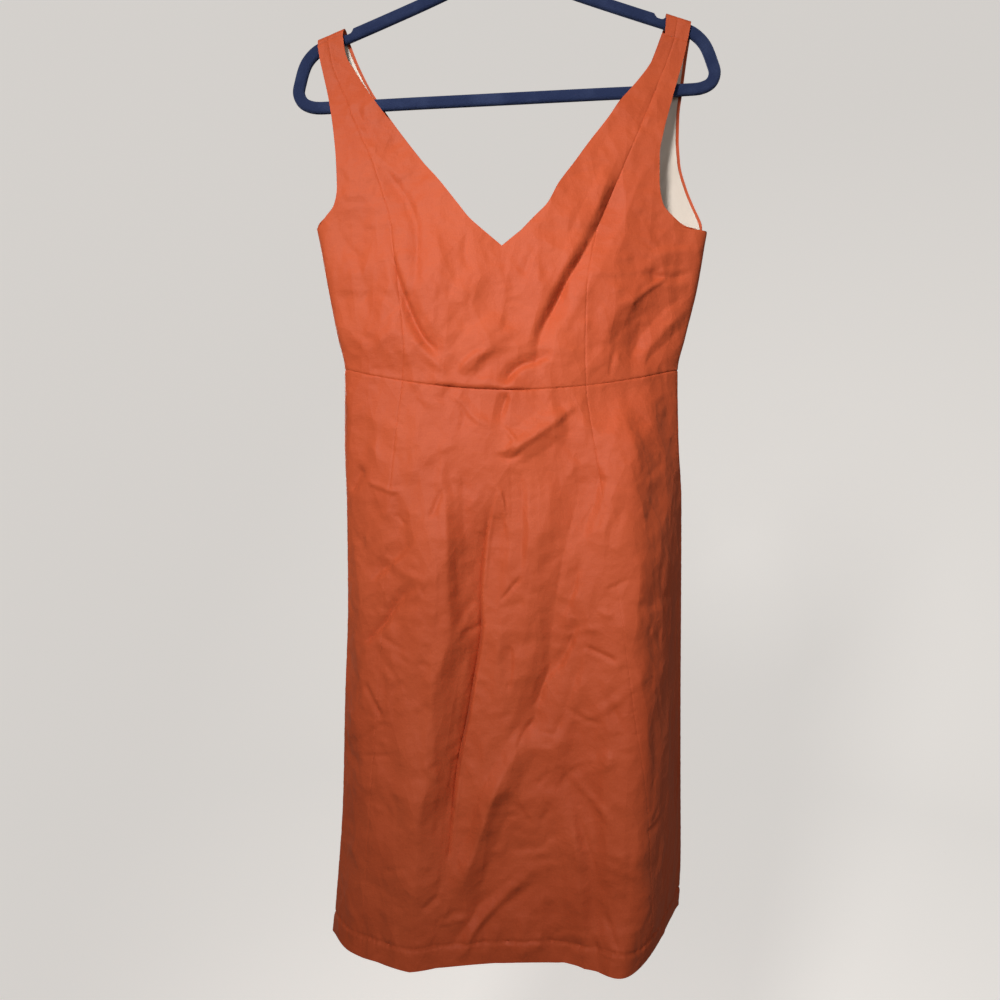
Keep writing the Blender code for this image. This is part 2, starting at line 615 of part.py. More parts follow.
def wall(name, grids, finish, thickness=CLOTH, offset=0.0):
    """One closed wall round a mid-surface made of one or more grids that share points."""
    index = {}
    keys = []
    outer = []
    inner = []
    quads = []
    moves = {}
    for rows, facing, insets in grids:
        for key, move in seam_moves(rows, insets).items():
            moves.setdefault(key, move)
    for rows, facing, insets in grids:
        for quad in grid_faces(rows, facing):
            corners = []
            for point in quad:
                key = key_of(point)
                if key not in index:
                    index[key] = len(outer)
                    keys.append(key)
                    middle = point + moves.get(key, 0) + normal_at(point) * offset
                    outer.append(middle + normal_at(point) * thickness / 2)
                    inner.append(middle - normal_at(point) * thickness / 2)
                corners.append(index[key])
            quads.append(corners)
    count = len(outer)
    edges = {}
    for quad in quads:
        for a, b in zip(quad, quad[1:] + quad[:1]):
            edges[a, b] = edges.get((a, b), 0) + 1
    halves = [half for a, b, c, d in quads for half in ((a, b, c), (a, c, d))]
    faces = halves + [tuple(corner + count for corner in reversed(half)) for half in halves]
    for a, b in edges:
        if (b, a) not in edges:
            if keys[a] < keys[b]:
                faces += [(b, a, b + count), (a, a + count, b + count)]
            else:
                faces += [(b, a, a + count), (b, a + count, b + count)]
    mesh = bpy.data.meshes.new(name)
    mesh.from_pydata([tuple(p) for p in outer + inner], [], faces)
    return finished(name, mesh, finish)


def finished(name, mesh, finish, smooth_angle=35):
    """The named object with its material, shaded smooth up to its sharp edges."""
    mesh.update()
    mesh.shade_smooth()
    mesh.set_sharp_from_angle(angle=radians(smooth_angle))
    thing = bpy.data.objects.new(name, mesh)
    bpy.context.collection.objects.link(thing)
    mesh.materials.append(material(finish))
    return thing


def material(name):
    if name in bpy.data.materials:
        return bpy.data.materials[name]
    made = bpy.data.materials.new(name)
    made.use_nodes = True
    shader = made.node_tree.nodes["Principled BSDF"]
    finish = FINISHES[name]
    shader.inputs["Base Color"].default_value = (*finish.colour, 1.0)
    shader.inputs["Roughness"].default_value = finish.roughness
    shader.inputs["Metallic"].default_value = finish.metallic
    return made


# ---------------------------------------------------------------- the dress
def facing_of(face, side):
    """Columns run from the outside to the middle; on two of the four quarters that turns the quads round."""
    return 1 if (face == "front") == (side == "left") else -1


def slot_inset(index):
    """The right side seam stands open round the zip's slider."""
    near = BODICE_ROWS - 1 <= index <= BODICE_ROWS
    return SLIDER_SLOT / 2 if near else SEAM_GAP / 2


def bodice():
    """Front, back and side panels of the bodice, from the waist to the straps."""
    sides = {}
    middles = {}
    for face in ("front", "back"):
        for side in ("left", "right"):
            sides[face, side] = side_grid(face, side)
            middles[face, side] = middle_grid(face, side)
            add_normals(grid_faces(sides[face, side], facing_of(face, side)))
            add_normals(grid_faces(middles[face, side], facing_of(face, side)))
    return sides, middles


def skirt():
    """The six gores of the skirt, from the hem to the waist."""
    gores = {
        "skirt_side_front_left": ("side_left", "front_left", SIDE_COLUMNS["front"]),
        "skirt_front_a": ("front_left", "front_middle", MIDDLE_COLUMNS["front"]),
        "skirt_front_b": ("front_middle", "front_right", MIDDLE_COLUMNS["front"]),
        "skirt_side_front_right": ("front_right", "side_right", SIDE_COLUMNS["front"]),
        "skirt_side_back_right": ("side_right", "back_right", SIDE_COLUMNS["front"]),
        "skirt_back_a": ("back_right", "back_middle", MIDDLE_COLUMNS["back"]),
        "skirt_back_b": ("back_middle", "back_left", MIDDLE_COLUMNS["back"]),
        "skirt_side_back_left": ("back_left", "side_end", SIDE_COLUMNS["front"]),
    }
    grids = {name: [closed_row(level, first, last, columns) for level in SKIRT_LEVELS]
             for name, (first, last, columns) in gores.items()}
    for rows in grids.values():
        add_normals(grid_faces(rows, 1))
    return grids


def build_bodice(sides, middles):
    gap = SEAM_GAP / 2
    for face in ("front", "back"):
        for side in ("left", "right"):
            closed = BODICE_ROWS - 1

            def outer_gap(index, side=side):
                if index > closed + 1:
                    return 0
                return slot_inset(index) if side == "right" else gap

            wall(f"bodice_side_{face}_{side}",
                 [(sides[face, side], facing_of(face, side),
                   {"start": outer_gap, "end": gap, "bottom": gap, "top": gap})], "orange_cloth")
        wall(f"bodice_{face}",
             [(middles[face, side], facing_of(face, side), {"start": gap, "bottom": gap, "top": gap})
              for side in ("left", "right")], "orange_cloth")


def build_lining(sides, middles):
    """The pale lining of the back, a second wall just inside the first, short of its edges."""
    inward = -(CLOTH / 2 + SEAM_GAP + LINING / 2)
    first = next(k for k, level in enumerate(BODICE_LEVELS) if level > LINING_LEVEL)
    grids = []

    def neck_edge(index):
        return LINING_EDGE if index + first >= BODICE_ROWS - 1 else 0

    for side in ("left", "right"):
        joined = [a[1:-1] + b for a, b in zip(sides["back", side], middles["back", side])][first:]
        insets = {"start": ZIP_EDGE, "end": neck_edge, "top": LINING_EDGE}
        grids.append((joined, facing_of("back", side), insets))
    wall("back_lining", grids, "cream_lining", thickness=LINING, offset=inward)


def build_skirt(grids):
    gap = SEAM_GAP / 2
    for face in ("front", "back"):
        wall(f"skirt_{face}",
             [(grids[f"skirt_{face}_a"], 1, {"start": gap, "top": gap}),
              (grids[f"skirt_{face}_b"], 1, {"end": gap, "top": gap})], "orange_cloth")
        for side in ("left", "right"):
            name = f"skirt_side_{face}_{side}"
            wall(name, [(grids[name], 1, {"start": gap, "end": gap, "top": gap})], "orange_cloth")


# ---------------------------------------------------------------- the side zip
def side_frame(level):
    """A place on the right side seam, with the directions across it, out of the cloth and up along it."""
    body = Body.at(level)
    at = seam_distance(body, "side_right")
    reach = 0.003
    across = Vector(body.place(at - reach) - body.place(at + reach))
    below, above = [other.place(seam_distance(other, "side_right"))
                    for other in (Body.at(level - reach), Body.at(level + reach))]
    up = Vector(above - below).normalized()
    out = up.cross(across).normalized()
    across = out.cross(up)
    return Vector(body.place(at)), across, out, up


def tape_row(seam, column):
    """Half of the strip at one height, from the seam towards the panel's next column."""
    share = ZIP_HALF_WIDTH / np.linalg.norm(column - seam)
    side = seam + (column - seam) * share
    NORMAL_SUMS[key_of(side)] = normal_at(seam) * (1 - share) + normal_at(column) * share
    return [seam, side]


def build_zip_tape(sides, gores):
    """Both tapes and the closed coil as one strip behind the seam, from the underarm to the hip."""
    skirt_rows = [k for k, level in enumerate(SKIRT_LEVELS) if level > ZIP_BOTTOM]
    bodice_rows = range(1, BODICE_ROWS)
    strips = []
    for face in ("front", "back"):
        gore = gores[f"skirt_side_{face}_right"]
        rows = []
        for k in skirt_rows:
            rows.append(tape_row(*(gore[k][-2:][::-1] if face == "front" else gore[k][:2])))
        for k in bodice_rows:
            rows.append(tape_row(*sides[face, "right"][k][:2]))
        strips.append((rows, facing_of(face, "right"), {}))
    inward = -(CLOTH / 2 + ZIP_GAP + ZIP_THICKNESS / 2)
    wall("zip_tape", strips, "orange_cloth", thickness=ZIP_THICKNESS, offset=inward)


def box_mesh(name, size, bevel, segments=1):
    """A box with its edges bevelled."""
    mesh = bpy.data.meshes.new(name)
    shape = bmesh.new()
    bmesh.ops.create_cube(shape, size=1.0, matrix=Matrix.Diagonal((*size, 1.0)))
    bmesh.ops.bevel(shape, geom=shape.edges[:], offset=bevel, segments=segments, affect="EDGES", profile=0.5)
    shape.to_mesh(mesh)
    shape.free()
    return mesh


def join(thing, others):
    """Boolean unions that leave one closed body; the pieces that were joined stay as hidden guides."""
    for other in others:
        other.hide_render = True
        other.display_type = "WIRE"
        union = thing.modifiers.new("join", "BOOLEAN")
        union.operation = "UNION"
        union.object = other


def wire_pin(name, radius, length, segments=10):
    """A plain round pin along X."""
    mesh = bpy.data.meshes.new(name)
    shape = bmesh.new()
    bmesh.ops.create_cone(shape, cap_ends=True, segments=segments, radius1=radius, radius2=radius,
                          depth=length, matrix=Matrix.Rotation(pi / 2, 4, "Y"))
    shape.to_mesh(mesh)
    shape.free()
    return mesh


def build_zip_slider():
    """The enamelled slider: a neck through the seam under a cap, and two ears that hold the pull's pin."""
    place, across, out, up = side_frame(SLIDER_LEVEL)
    seat = Matrix.Translation(place) @ Matrix((across, out, up)).transposed().to_4x4()
    foot = -(CLOTH / 2 + ZIP_GAP - SEAM_GAP)
    cap_middle = CLOTH / 2 + SEAM_GAP + CAP_THICKNESS / 2
    pin_out = cap_middle + CAP_THICKNESS / 2 + PIN_HEIGHT
    ear_middle = pin_out + PIN_RADIUS + SLIDER_BEVEL - EAR_HEIGHT / 2
    hinge = seat @ Matrix.Translation((0, pin_out, 0))
    neck_mesh = box_mesh("zip_slider", (NECK_WIDTH, cap_middle - foot, NECK_LENGTH), SLIDER_BEVEL / 2)
    slider = finished("zip_slider", neck_mesh, "zip_enamel")
    slider.matrix_world = seat @ Matrix.Translation((0, (cap_middle + foot) / 2, 0))
    cap_mesh = box_mesh("slider_cap", (CAP_WIDTH, CAP_THICKNESS, CAP_LENGTH), SLIDER_BEVEL)
    cap = finished("slider_cap", cap_mesh, "zip_enamel")
    cap.matrix_world = seat @ Matrix.Translation((0, cap_middle, 0))
    pin = finished("slider_pin", wire_pin("slider_pin", PIN_RADIUS, PIN_LENGTH), "zip_enamel")
    pin.matrix_world = hinge
    guides = [cap, pin]
    for name, sign in (("left", -1), ("right", 1)):
        ear_mesh = box_mesh("slider_ear", (EAR_WIDTH, EAR_HEIGHT, EAR_LENGTH), SLIDER_BEVEL)
        ear = finished(f"slider_ear_{name}", ear_mesh, "zip_enamel")
        ear.matrix_world = seat @ Matrix.Translation((sign * EAR_OUT, ear_middle, 0))
        guides.append(ear)
    join(slider, guides)
    return hinge


def ring_mesh(name, width, outer, inner, segments=12):
    """A short tube along X."""
    mesh = bpy.data.meshes.new(name)
    shape = bmesh.new()
    loops = []
    turns = [2 * pi * k / segments for k in range(segments)]
    for x, radius in ((-width / 2, outer), (width / 2, outer), (width / 2, inner), (-width / 2, inner)):
        loops.append([shape.verts.new((x, radius * cos(turn), radius * sin(turn))) for turn in turns])
    for near, far in zip(loops, loops[1:] + loops[:1]):
        for k in range(segments):
            n = (k + 1) % segments
            shape.faces.new((near[k], near[n], far[n], far[k]))
    bmesh.ops.recalc_face_normals(shape, faces=shape.faces)
    shape.to_mesh(mesh)
    shape.free()
    return mesh


def drop_mesh(name, top, round_steps=8):
    """The pull's flat drop: a narrow neck that widens to a round end."""
    half = PULL_WIDTH / 2
    neck = RING_WIDTH / 2
    round_middle = half - PULL_LENGTH
    outline = [(neck, top), (neck, -PULL_NECK)]
    outline += [(half * cos(-pi * k / round_steps), round_middle + half * sin(-pi * k / round_steps))
                for k in range(round_steps + 1)]
    outline += [(-neck, -PULL_NECK), (-neck, top)]
    mesh = bpy.data.meshes.new(name)
    shape = bmesh.new()
    face = shape.faces.new([shape.verts.new((x, -PULL_THICKNESS / 2, z)) for x, z in outline])
    grown = bmesh.ops.extrude_face_region(shape, geom=[face])
    moved = [item for item in grown["geom"] if isinstance(item, bmesh.types.BMVert)]
    bmesh.ops.translate(shape, verts=moved, vec=(0, PULL_THICKNESS, 0))
    bmesh.ops.recalc_face_normals(shape, faces=shape.faces)
    shape.to_mesh(mesh)
    shape.free()
    return mesh


def build_zip_pull(hinge):
    """The tab's own ring turns on the pin, and the drop hangs from it."""
    hole = PIN_RADIUS + SEAM_GAP
    pull = finished("zip_pull", ring_mesh("zip_pull", RING_WIDTH, hole + RING_WALL, hole), "zip_enamel")
    drop = finished("pull_drop", drop_mesh("pull_drop", -(hole + RING_WALL / 2)), "zip_enamel")
    for piece in (pull, drop):
        piece.matrix_world = hinge
    join(pull, [drop])


# ---------------------------------------------------------------- the hanger
# Half of the frame's middle line, from the neck out along the arm, round the end and back along the bar.
FrameAt = namedtuple("FrameAt", "x z")
HALF_FRAME = [
    FrameAt(0.0220, -0.0905),
    FrameAt(0.0450, -0.1040),
    FrameAt(0.0750, -0.1170),
    FrameAt(0.1200, -0.1346),
    FrameAt(0.1700, -0.1535),
    FrameAt(0.1850, -0.1592),
    FrameAt(0.1958, -0.1642),
    FrameAt(0.2070, -0.1760),
    FrameAt(0.2145, -0.1960),
    FrameAt(0.2166, -0.2070),
    FrameAt(0.2125, -0.2165),
    FrameAt(0.2030, -0.2215),
    FrameAt(0.1800, -0.2228),
    FrameAt(0.0900, -0.2228),
]
FRAME_TOP = FrameAt(0.0, -0.0850)
FRAME_BOTTOM = FrameAt(0.0, -0.2228)
FRAME_STEPS = 2
FRAME_SIDES = 12


def tilted():
    return Matrix.Rotation(-HANGER_TILT, 4, "Y")


def build_hanger_frame():
    """One flat rounded section swept round the frame's closed middle line, with the neck's boss joined on."""
    right = [(p.x, p.z) for p in HALF_FRAME]
    left = [(-p.x, p.z) for p in reversed(HALF_FRAME)]
    line = through([FRAME_TOP] + right + [FRAME_BOTTOM] + left, FRAME_STEPS, closed=True)
    shape = bmesh.new()
    rings = []
    count = len(line)
    flat = HANGER_HALF_HEIGHT - HANGER_HALF_DEPTH
    for k, (x, z) in enumerate(line):
        run = line[(k + 1) % count] - line[k - 1]
        run /= np.linalg.norm(run)
        across = (-run[1], run[0])
        ring = []
        for j in range(FRAME_SIDES):
            angle = 2 * pi * (j + 0.5) / FRAME_SIDES
            depth = HANGER_HALF_DEPTH * cos(angle)
            height = HANGER_HALF_DEPTH * sin(angle)
            height += flat if height > 0 else -flat
            ring.append(shape.verts.new((x + across[0] * height, depth, z + across[1] * height)))
        rings.append(ring)
    for k in range(count):
        a, b = rings[k], rings[(k + 1) % count]
        for j in range(FRAME_SIDES):
            n = (j + 1) % FRAME_SIDES
            shape.faces.new((a[j], a[n], b[n], b[j]))
    bmesh.ops.recalc_face_normals(shape, faces=shape.faces)
    mesh = bpy.data.meshes.new("hanger_frame")
    shape.to_mesh(mesh)
    shape.free()
    frame = finished("hanger_frame", mesh, "blue_flock", smooth_angle=50)
    frame.matrix_world = tilted()
    block_mesh = box_mesh("neck_block", (NECK_BLOCK_WIDTH, NECK_BLOCK_DEPTH, NECK_BLOCK_HEIGHT), NECK_BEVEL, 3)
    block = finished("neck_block", block_mesh, "blue_flock")
    block.matrix_world = tilted() @ Matrix.Translation((0, 0, NECK_TOP + NECK_RISE - NECK_BLOCK_HEIGHT / 2))
    join(frame, [block])


def wire(name, line, radius, sides, finish):
    """A round wire along a smooth line in the hanger's plane."""
    curve = bpy.data.curves.new(name, "CURVE")
    curve.dimensions = "3D"
    curve.bevel_depth = radius
    curve.bevel_resolution = sides
    curve.use_fill_caps = True
    spline = curve.splines.new("POLY")
    spline.points.add(len(line) - 1)
    for point, (x, z) in zip(spline.points, line):
        point.co = (x, 0.0, z, 1.0)
    thing = bpy.data.objects.new(name, curve)
    bpy.context.collection.objects.link(thing)
    curve.materials.append(material(finish))
    return thing


def build_hook():
    """A bent steel wire screwed into a short steel ferrule on the frame's neck."""
    radius = HOOK_INNER_RADIUS + HOOK_WIRE / 2
    centre = -HOOK_INNER_RADIUS
    ferrule_foot = NECK_TOP + NECK_RISE + SEAM_GAP
    stem_foot = ferrule_foot + FERRULE_HEIGHT + SEAM_GAP
    stem = [(0.0, stem_foot), (0.0, HOOK_STEM_TOP)]
    turns = np.linspace(HOOK_START, HOOK_END, HOOK_STEPS + 1)
    bend = [(radius * cos(turn), centre + radius * sin(turn)) for turn in turns]
    elbow = [(HOOK_ELBOW_X, (HOOK_STEM_TOP + bend[0][1]) / 2 - HOOK_WIRE / 4)]
    line = through(stem + elbow + bend, 2, closed=False)
    hook = wire("hanger_hook", line, HOOK_WIRE / 2, 2, "hook_steel")
    hook.matrix_world = tilted()
    mesh = bpy.data.meshes.new("hanger_ferrule")
    shape = bmesh.new()
    bmesh.ops.create_cone(shape, cap_ends=True, segments=20, radius1=FERRULE_RADIUS,
                          radius2=FERRULE_RADIUS * FERRULE_TAPER, depth=FERRULE_HEIGHT)
    rims = [edge for edge in shape.edges if abs(edge.verts[0].co.z - edge.verts[1].co.z) < FERRULE_BEVEL]
    bmesh.ops.bevel(shape, geom=rims, offset=FERRULE_BEVEL, segments=1, affect="EDGES", profile=0.5)
    shape.to_mesh(mesh)
    shape.free()
    ferrule = finished("hanger_ferrule", mesh, "hook_steel")
    ferrule.matrix_world = tilted() @ Matrix.Translation((0, 0, ferrule_foot + FERRULE_HEIGHT / 2))


def main():
    for thing in list(bpy.data.objects):
        bpy.data.objects.remove(thing, do_unlink=True)
    sides, middles = bodice()
    gores = skirt()
    build_bodice(sides, middles)
    build_lining(sides, middles)
    build_skirt(gores)
    build_zip_tape(sides, gores)
    hinge = build_zip_slider()
    build_zip_pull(hinge)
    build_hanger_frame()
    build_hook()
    return hinge


main()
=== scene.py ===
"""The finish of a sleeveless V-neck a-line dress on its slim flocked clothes hanger.

Metres, +Z up, the dress faces -Y, and the origin is where the hook rests.  Left and right are as seen
from the front.  Levels are heights below the origin.
"""

from collections import namedtuple
from math import cos, pi, radians, sin, tan

import bmesh
import bpy
import numpy as np
from mathutils import Matrix, Vector


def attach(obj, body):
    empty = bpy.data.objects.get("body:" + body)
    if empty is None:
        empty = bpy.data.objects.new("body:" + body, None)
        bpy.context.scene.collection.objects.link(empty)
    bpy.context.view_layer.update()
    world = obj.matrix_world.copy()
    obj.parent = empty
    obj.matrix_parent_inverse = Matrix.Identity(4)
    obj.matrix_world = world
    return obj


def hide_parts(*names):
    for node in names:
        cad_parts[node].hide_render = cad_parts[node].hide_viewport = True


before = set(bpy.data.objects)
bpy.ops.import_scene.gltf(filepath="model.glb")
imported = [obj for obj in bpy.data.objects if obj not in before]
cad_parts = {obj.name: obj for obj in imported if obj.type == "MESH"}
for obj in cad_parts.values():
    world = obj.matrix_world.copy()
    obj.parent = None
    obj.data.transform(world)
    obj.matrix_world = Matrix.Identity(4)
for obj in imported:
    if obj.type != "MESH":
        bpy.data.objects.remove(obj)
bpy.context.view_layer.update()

# ---------------------------------------------------------------- the hanger's frame
# A slim moulded hanger, one closed loop of rounded flat section, flocked all over with short navy fibres.
# Each arm has a shallow strap notch in its top edge.  The hook's ferrule stands on the block at its neck.
HANGER_TILT = radians(2.9)       # the right end hangs higher
HANGER_HALF_DEPTH = 0.0032
HANGER_HALF_HEIGHT = 0.0063
FRAME_RING_STEP = 0.0022         # along the loop
FRAME_RING_SIDES = 24
NOTCH_AT = 0.1610                # from the middle, on each arm
NOTCH_HALF_WIDTH = 0.0055
NOTCH_DEPTH = 0.0036
NECK_TOP = -0.0800
NECK_RISE = 0.0030
NECK_BLOCK = (0.0140, 0.0074, 0.0150)
NECK_ROUND = 0.0028
# half of the frame's middle line, x and z, from the top's middle to the bottom's
FRAME_TOP = (0.0, -0.0850)
HALF_FRAME = [
    (0.0220, -0.0905), (0.0450, -0.1040), (0.0750, -0.1170), (0.1200, -0.1346), (0.1700, -0.1535),
    (0.1850, -0.1592), (0.1958, -0.1642), (0.2070, -0.1760), (0.2145, -0.1960), (0.2166, -0.2070),
    (0.2125, -0.2165), (0.2030, -0.2215), (0.1800, -0.2228), (0.0900, -0.2228),
]
FRAME_BOTTOM = (0.0, -0.2228)


class Value:
    """A shader socket that Python's operators work on; each operation adds its Math node."""

    def __init__(self, finish, socket):
        self.finish = finish
        self.socket = socket

    def math(self, operation, other):
        return self.finish.make("Math", {"operation": operation}, {0: self, 1: other})

    def __add__(self, other):
        return self.math("ADD", other)

    def __mul__(self, other):
        return self.math("MULTIPLY", other)

    __radd__ = __add__
    __rmul__ = __mul__

    def between(self, low, high):
        """0 up to low, 1 from high, and smooth between."""
        settings = {"interpolation_type": "SMOOTHSTEP"}
        return self.finish.make("MapRange", settings, {"Value": self, "From Min": low, "From Max": high})


# the numbers of a Mix node's sockets for colours
MIX_FACTOR = 0
MIX_FIRST = 6
MIX_SECOND = 7
MIX_RESULT = 2


class Finish:
    """One material: a Principled shader, and the nodes that feed it."""

    def __init__(self, name, **sockets):
        self.material = bpy.data.materials.new(name)
        self.material.use_nodes = True
        self.tree = self.material.node_tree
        self.shader = self.tree.nodes["Principled BSDF"]
        self.set(**sockets)

    def set(self, **sockets):
        """Feeds the shader's sockets; an underscore stands for a space."""
        for name, value in sockets.items():
            self.feed(self.shader.inputs[name.replace("_", " ")], value)

    def feed(self, socket, value):
        if isinstance(value, Value):
            self.tree.links.new(value.socket, socket)
        else:
            socket.default_value = value

    def make(self, kind, settings=None, sockets=None, output=0):
        """A node of any kind: its settings first, then the values or links of its sockets."""
        node = self.tree.nodes.new("ShaderNode" + kind)
        for name, value in (settings or {}).items():
            setattr(node, name, value)
        for name, value in (sockets or {}).items():
            self.feed(node.inputs[name], value)
        return Value(self, node.outputs[output])

    def place(self):
        """Where a point lies on the object."""
        return self.make("TexCoord", output="Object")

    def noise(self, where, scale, stretch=(1, 1, 1), detail=2.0, roughness=0.5):
        """Noise with so many grains a metre, squeezed or drawn out along each axis."""
        mapped = self.make("Mapping", None, {"Vector": where, "Scale": stretch})
        sockets = {"Vector": mapped, "Scale": scale, "Detail": detail, "Roughness": roughness}
        return self.make("TexNoise", None, sockets)

    def blend(self, factor, first, second):
        """A mix of two colours, through the Mix node's colour sockets."""
        sockets = {MIX_FACTOR: factor, MIX_FIRST: first, MIX_SECOND: second}
        return self.make("Mix", {"data_type": "RGBA"}, sockets, output=MIX_RESULT)

    def bump(self, height, distance, strength, under=None):
        sockets = {"Height": height, "Distance": distance, "Strength": strength}
        if under is not None:
            sockets["Normal"] = under
        return self.make("Bump", None, sockets)


def tone(red, green, blue):
    """A linear colour from its values as seen on a screen, 0 to 255."""
    linear = []
    for share in (red / 255, green / 255, blue / 255):
        linear.append(share / 12.92 if share <= 0.04045 else ((share + 0.055) / 1.055) ** 2.4)
    return (*linear, 1.0)


def flock_finish():
    flock = Finish("blue_flock", Roughness=0.95, Sheen_Weight=0.55, Sheen_Roughness=0.45,
                   Sheen_Tint=tone(120, 140, 190), Specular_IOR_Level=0.15)
    place = flock.place()
    fibres = flock.noise(place, 2600.0, detail=2.0)
    tufts = flock.noise(place, 420.0, detail=3.0)
    worn = flock.noise(place, 38.0, detail=4.0).between(0.42, 0.72)
    light = flock.blend(worn * 0.55, tone(36, 47, 80), tone(54, 66, 100))
    flock.set(Base_Color=flock.blend(fibres.between(0.3, 0.7) * 0.35, light, tone(22, 31, 60)),
              Normal=flock.bump(fibres * 0.5 + tufts, 0.0007, 0.8))
    return flock.material


def through(points, steps, closed=False):
    """A centripetal Catmull-Rom curve through the points, with so many steps from one to the next."""
    points = np.asarray(points, float)
    if closed:
        padded = np.vstack([points[-1:], points, points[:2]])
    else:
        padded = np.vstack([2 * points[0] - points[1], points, 2 * points[-1] - points[-2]])
    knots = np.concatenate([[0], np.cumsum(np.linalg.norm(np.diff(padded, axis=0), axis=1) ** 0.5)])
    line = []
    for i in range(len(padded) - 3):
        p0, p1, p2, p3 = padded[i:i + 4]
        t0, t1, t2, t3 = knots[i:i + 4]
        t = np.linspace(t1, t2, steps, endpoint=False)[:, None]
        a1 = ((t1 - t) * p0 + (t - t0) * p1) / (t1 - t0)
        a2 = ((t2 - t) * p1 + (t - t1) * p2) / (t2 - t1)
        a3 = ((t3 - t) * p2 + (t - t2) * p3) / (t3 - t2)
        b1 = ((t2 - t) * a1 + (t - t0) * a2) / (t2 - t0)
        b2 = ((t3 - t) * a2 + (t - t1) * a3) / (t3 - t1)
        line.append(((t2 - t) * b1 + (t - t1) * b2) / (t2 - t1))
    if not closed:
        line.append(points[-1:])
    return np.vstack(line)


def run_length(line):
    """How far along a line each of its points lies."""
    return np.concatenate([[0], np.cumsum(np.linalg.norm(np.diff(line, axis=0), axis=1))])


def evened(line, step, closed=False):
    """The same curve with points at even steps along it."""
    if closed:
        line = np.vstack([line, line[:1]])
    length = run_length(line)
    at = np.linspace(0, length[-1], int(length[-1] / step) + 1)
    even = np.stack([np.interp(at, length, line[:, k]) for k in range(line.shape[1])], axis=1)
    return even[:-1] if closed else even


def mesh_object(name, points, faces, material, smooth=60):
    """An object from points and faces, shaded smooth up to its sharp edges."""
    mesh = bpy.data.meshes.new(name)
    mesh.from_pydata(np.asarray(points).tolist(), [], [tuple(face) for face in faces])
    mesh.update()
    mesh.shade_smooth()
    mesh.set_sharp_from_angle(angle=radians(smooth))
    mesh.materials.append(material)
    thing = bpy.data.objects.new(name, mesh)
    bpy.context.collection.objects.link(thing)
    return thing


def ring_faces(rings, sides, closed):
    """The quads between rings of points that follow each other."""
    faces = []
    for k in range(rings if closed else rings - 1):
        here = k * sides
        there = (k + 1) % rings * sides
        for j in range(sides):
            n = (j + 1) % sides
            faces.append((here + j, here + n, there + n, there + j))
    return faces


def tilted(thing):
    thing.data.transform(Matrix.Rotation(-HANGER_TILT, 4, "Y"))
    return thing


def hanger_frame():
    left = [(-x, z) for x, z in reversed(HALF_FRAME)]
    line = through([FRAME_TOP] + HALF_FRAME + [FRAME_BOTTOM] + left, steps=24, closed=True)
    line = evened(line, FRAME_RING_STEP, closed=True)
    run = np.roll(line, -1, axis=0) - np.roll(line, 1, axis=0)
    run /= np.linalg.norm(run, axis=1)[:, None]
    flat = HANGER_HALF_HEIGHT - HANGER_HALF_DEPTH
    points = []
    for (x, z), (run_x, run_z) in zip(line, run):
        on_arm = z > (FRAME_TOP[1] + FRAME_BOTTOM[1]) / 2
        away = (abs(x) - NOTCH_AT) / NOTCH_HALF_WIDTH
        notch = NOTCH_DEPTH * max(0.0, 1 - away ** 4) if on_arm else 0.0
        for j in range(FRAME_RING_SIDES):
            angle = 2 * pi * (j + 0.5) / FRAME_RING_SIDES
            height = HANGER_HALF_DEPTH * sin(angle)
            height += flat - notch if height > 0 else -flat
            points.append((x - run_z * height, HANGER_HALF_DEPTH * cos(angle), z + run_x * height))
    faces = [face[::-1] for face in ring_faces(len(line), FRAME_RING_SIDES, closed=True)]
    frame_piece = mesh_object("flocked_hanger", points, faces, flock_finish())
    shape = bmesh.new()
    shape.from_mesh(frame_piece.data)
    bmesh.ops.recalc_face_normals(shape, faces=shape.faces)
    middle = Matrix.Translation((0, 0, NECK_TOP + NECK_RISE - NECK_BLOCK[2] / 2))
    cube = bmesh.ops.create_cube(shape, size=1.0, matrix=middle @ Matrix.Diagonal((*NECK_BLOCK, 1.0)))
    edges = {edge for corner in cube["verts"] for edge in corner.link_edges}
    bmesh.ops.bevel(shape, geom=list(edges), offset=NECK_ROUND, segments=5, affect="EDGES", profile=0.5)
    for face in shape.faces:
        face.smooth = True
    shape.to_mesh(frame_piece.data)
    shape.free()
    return tilted(frame_piece)


def declare(piece, node):
    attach(piece, "dress")
    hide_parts(node)


declare(hanger_frame(), "hanger_frame")

# ---------------------------------------------------------------- the ferrule and the hook
# A turned steel ferrule is pressed on the neck, and the hook's plated wire is screwed into it.  The wire
# leans out at its elbow, goes round a rod and ends in a rounded tip.
FERRULE_RADIUS = 0.0055
FERRULE_HEIGHT = 0.0120
FERRULE_GAP = 0.0003
HOOK_WIRE = 0.0040
HOOK_INNER_RADIUS = 0.0170
HOOK_STEM_TOP = -0.0520
HOOK_ELBOW_X = 0.0022
HOOK_START = radians(-62)
HOOK_END = radians(196)
HOOK_TURNS = 13
HOOK_SIDES = 20
HOOK_RING_STEP = 0.0011
HOOK_TIP_LEAST = 0.05        # the radius of the rounded tip's very end, as a share of the wire's
FERRULE_SIDES = 40
# the ferrule's profile, as shares of its foot radius and of its height
FERRULE_PROFILE = [
    (0.02, 0.0), (0.90, 0.0), (1.0, 0.05), (1.0, 0.16), (0.93, 0.19), (0.93, 0.25), (0.98, 0.28),
    (0.90, 0.50), (0.80, 0.72), (0.72, 0.80), (0.66, 0.93), (0.60, 0.99), (0.50, 1.0), (0.02, 1.0),
]


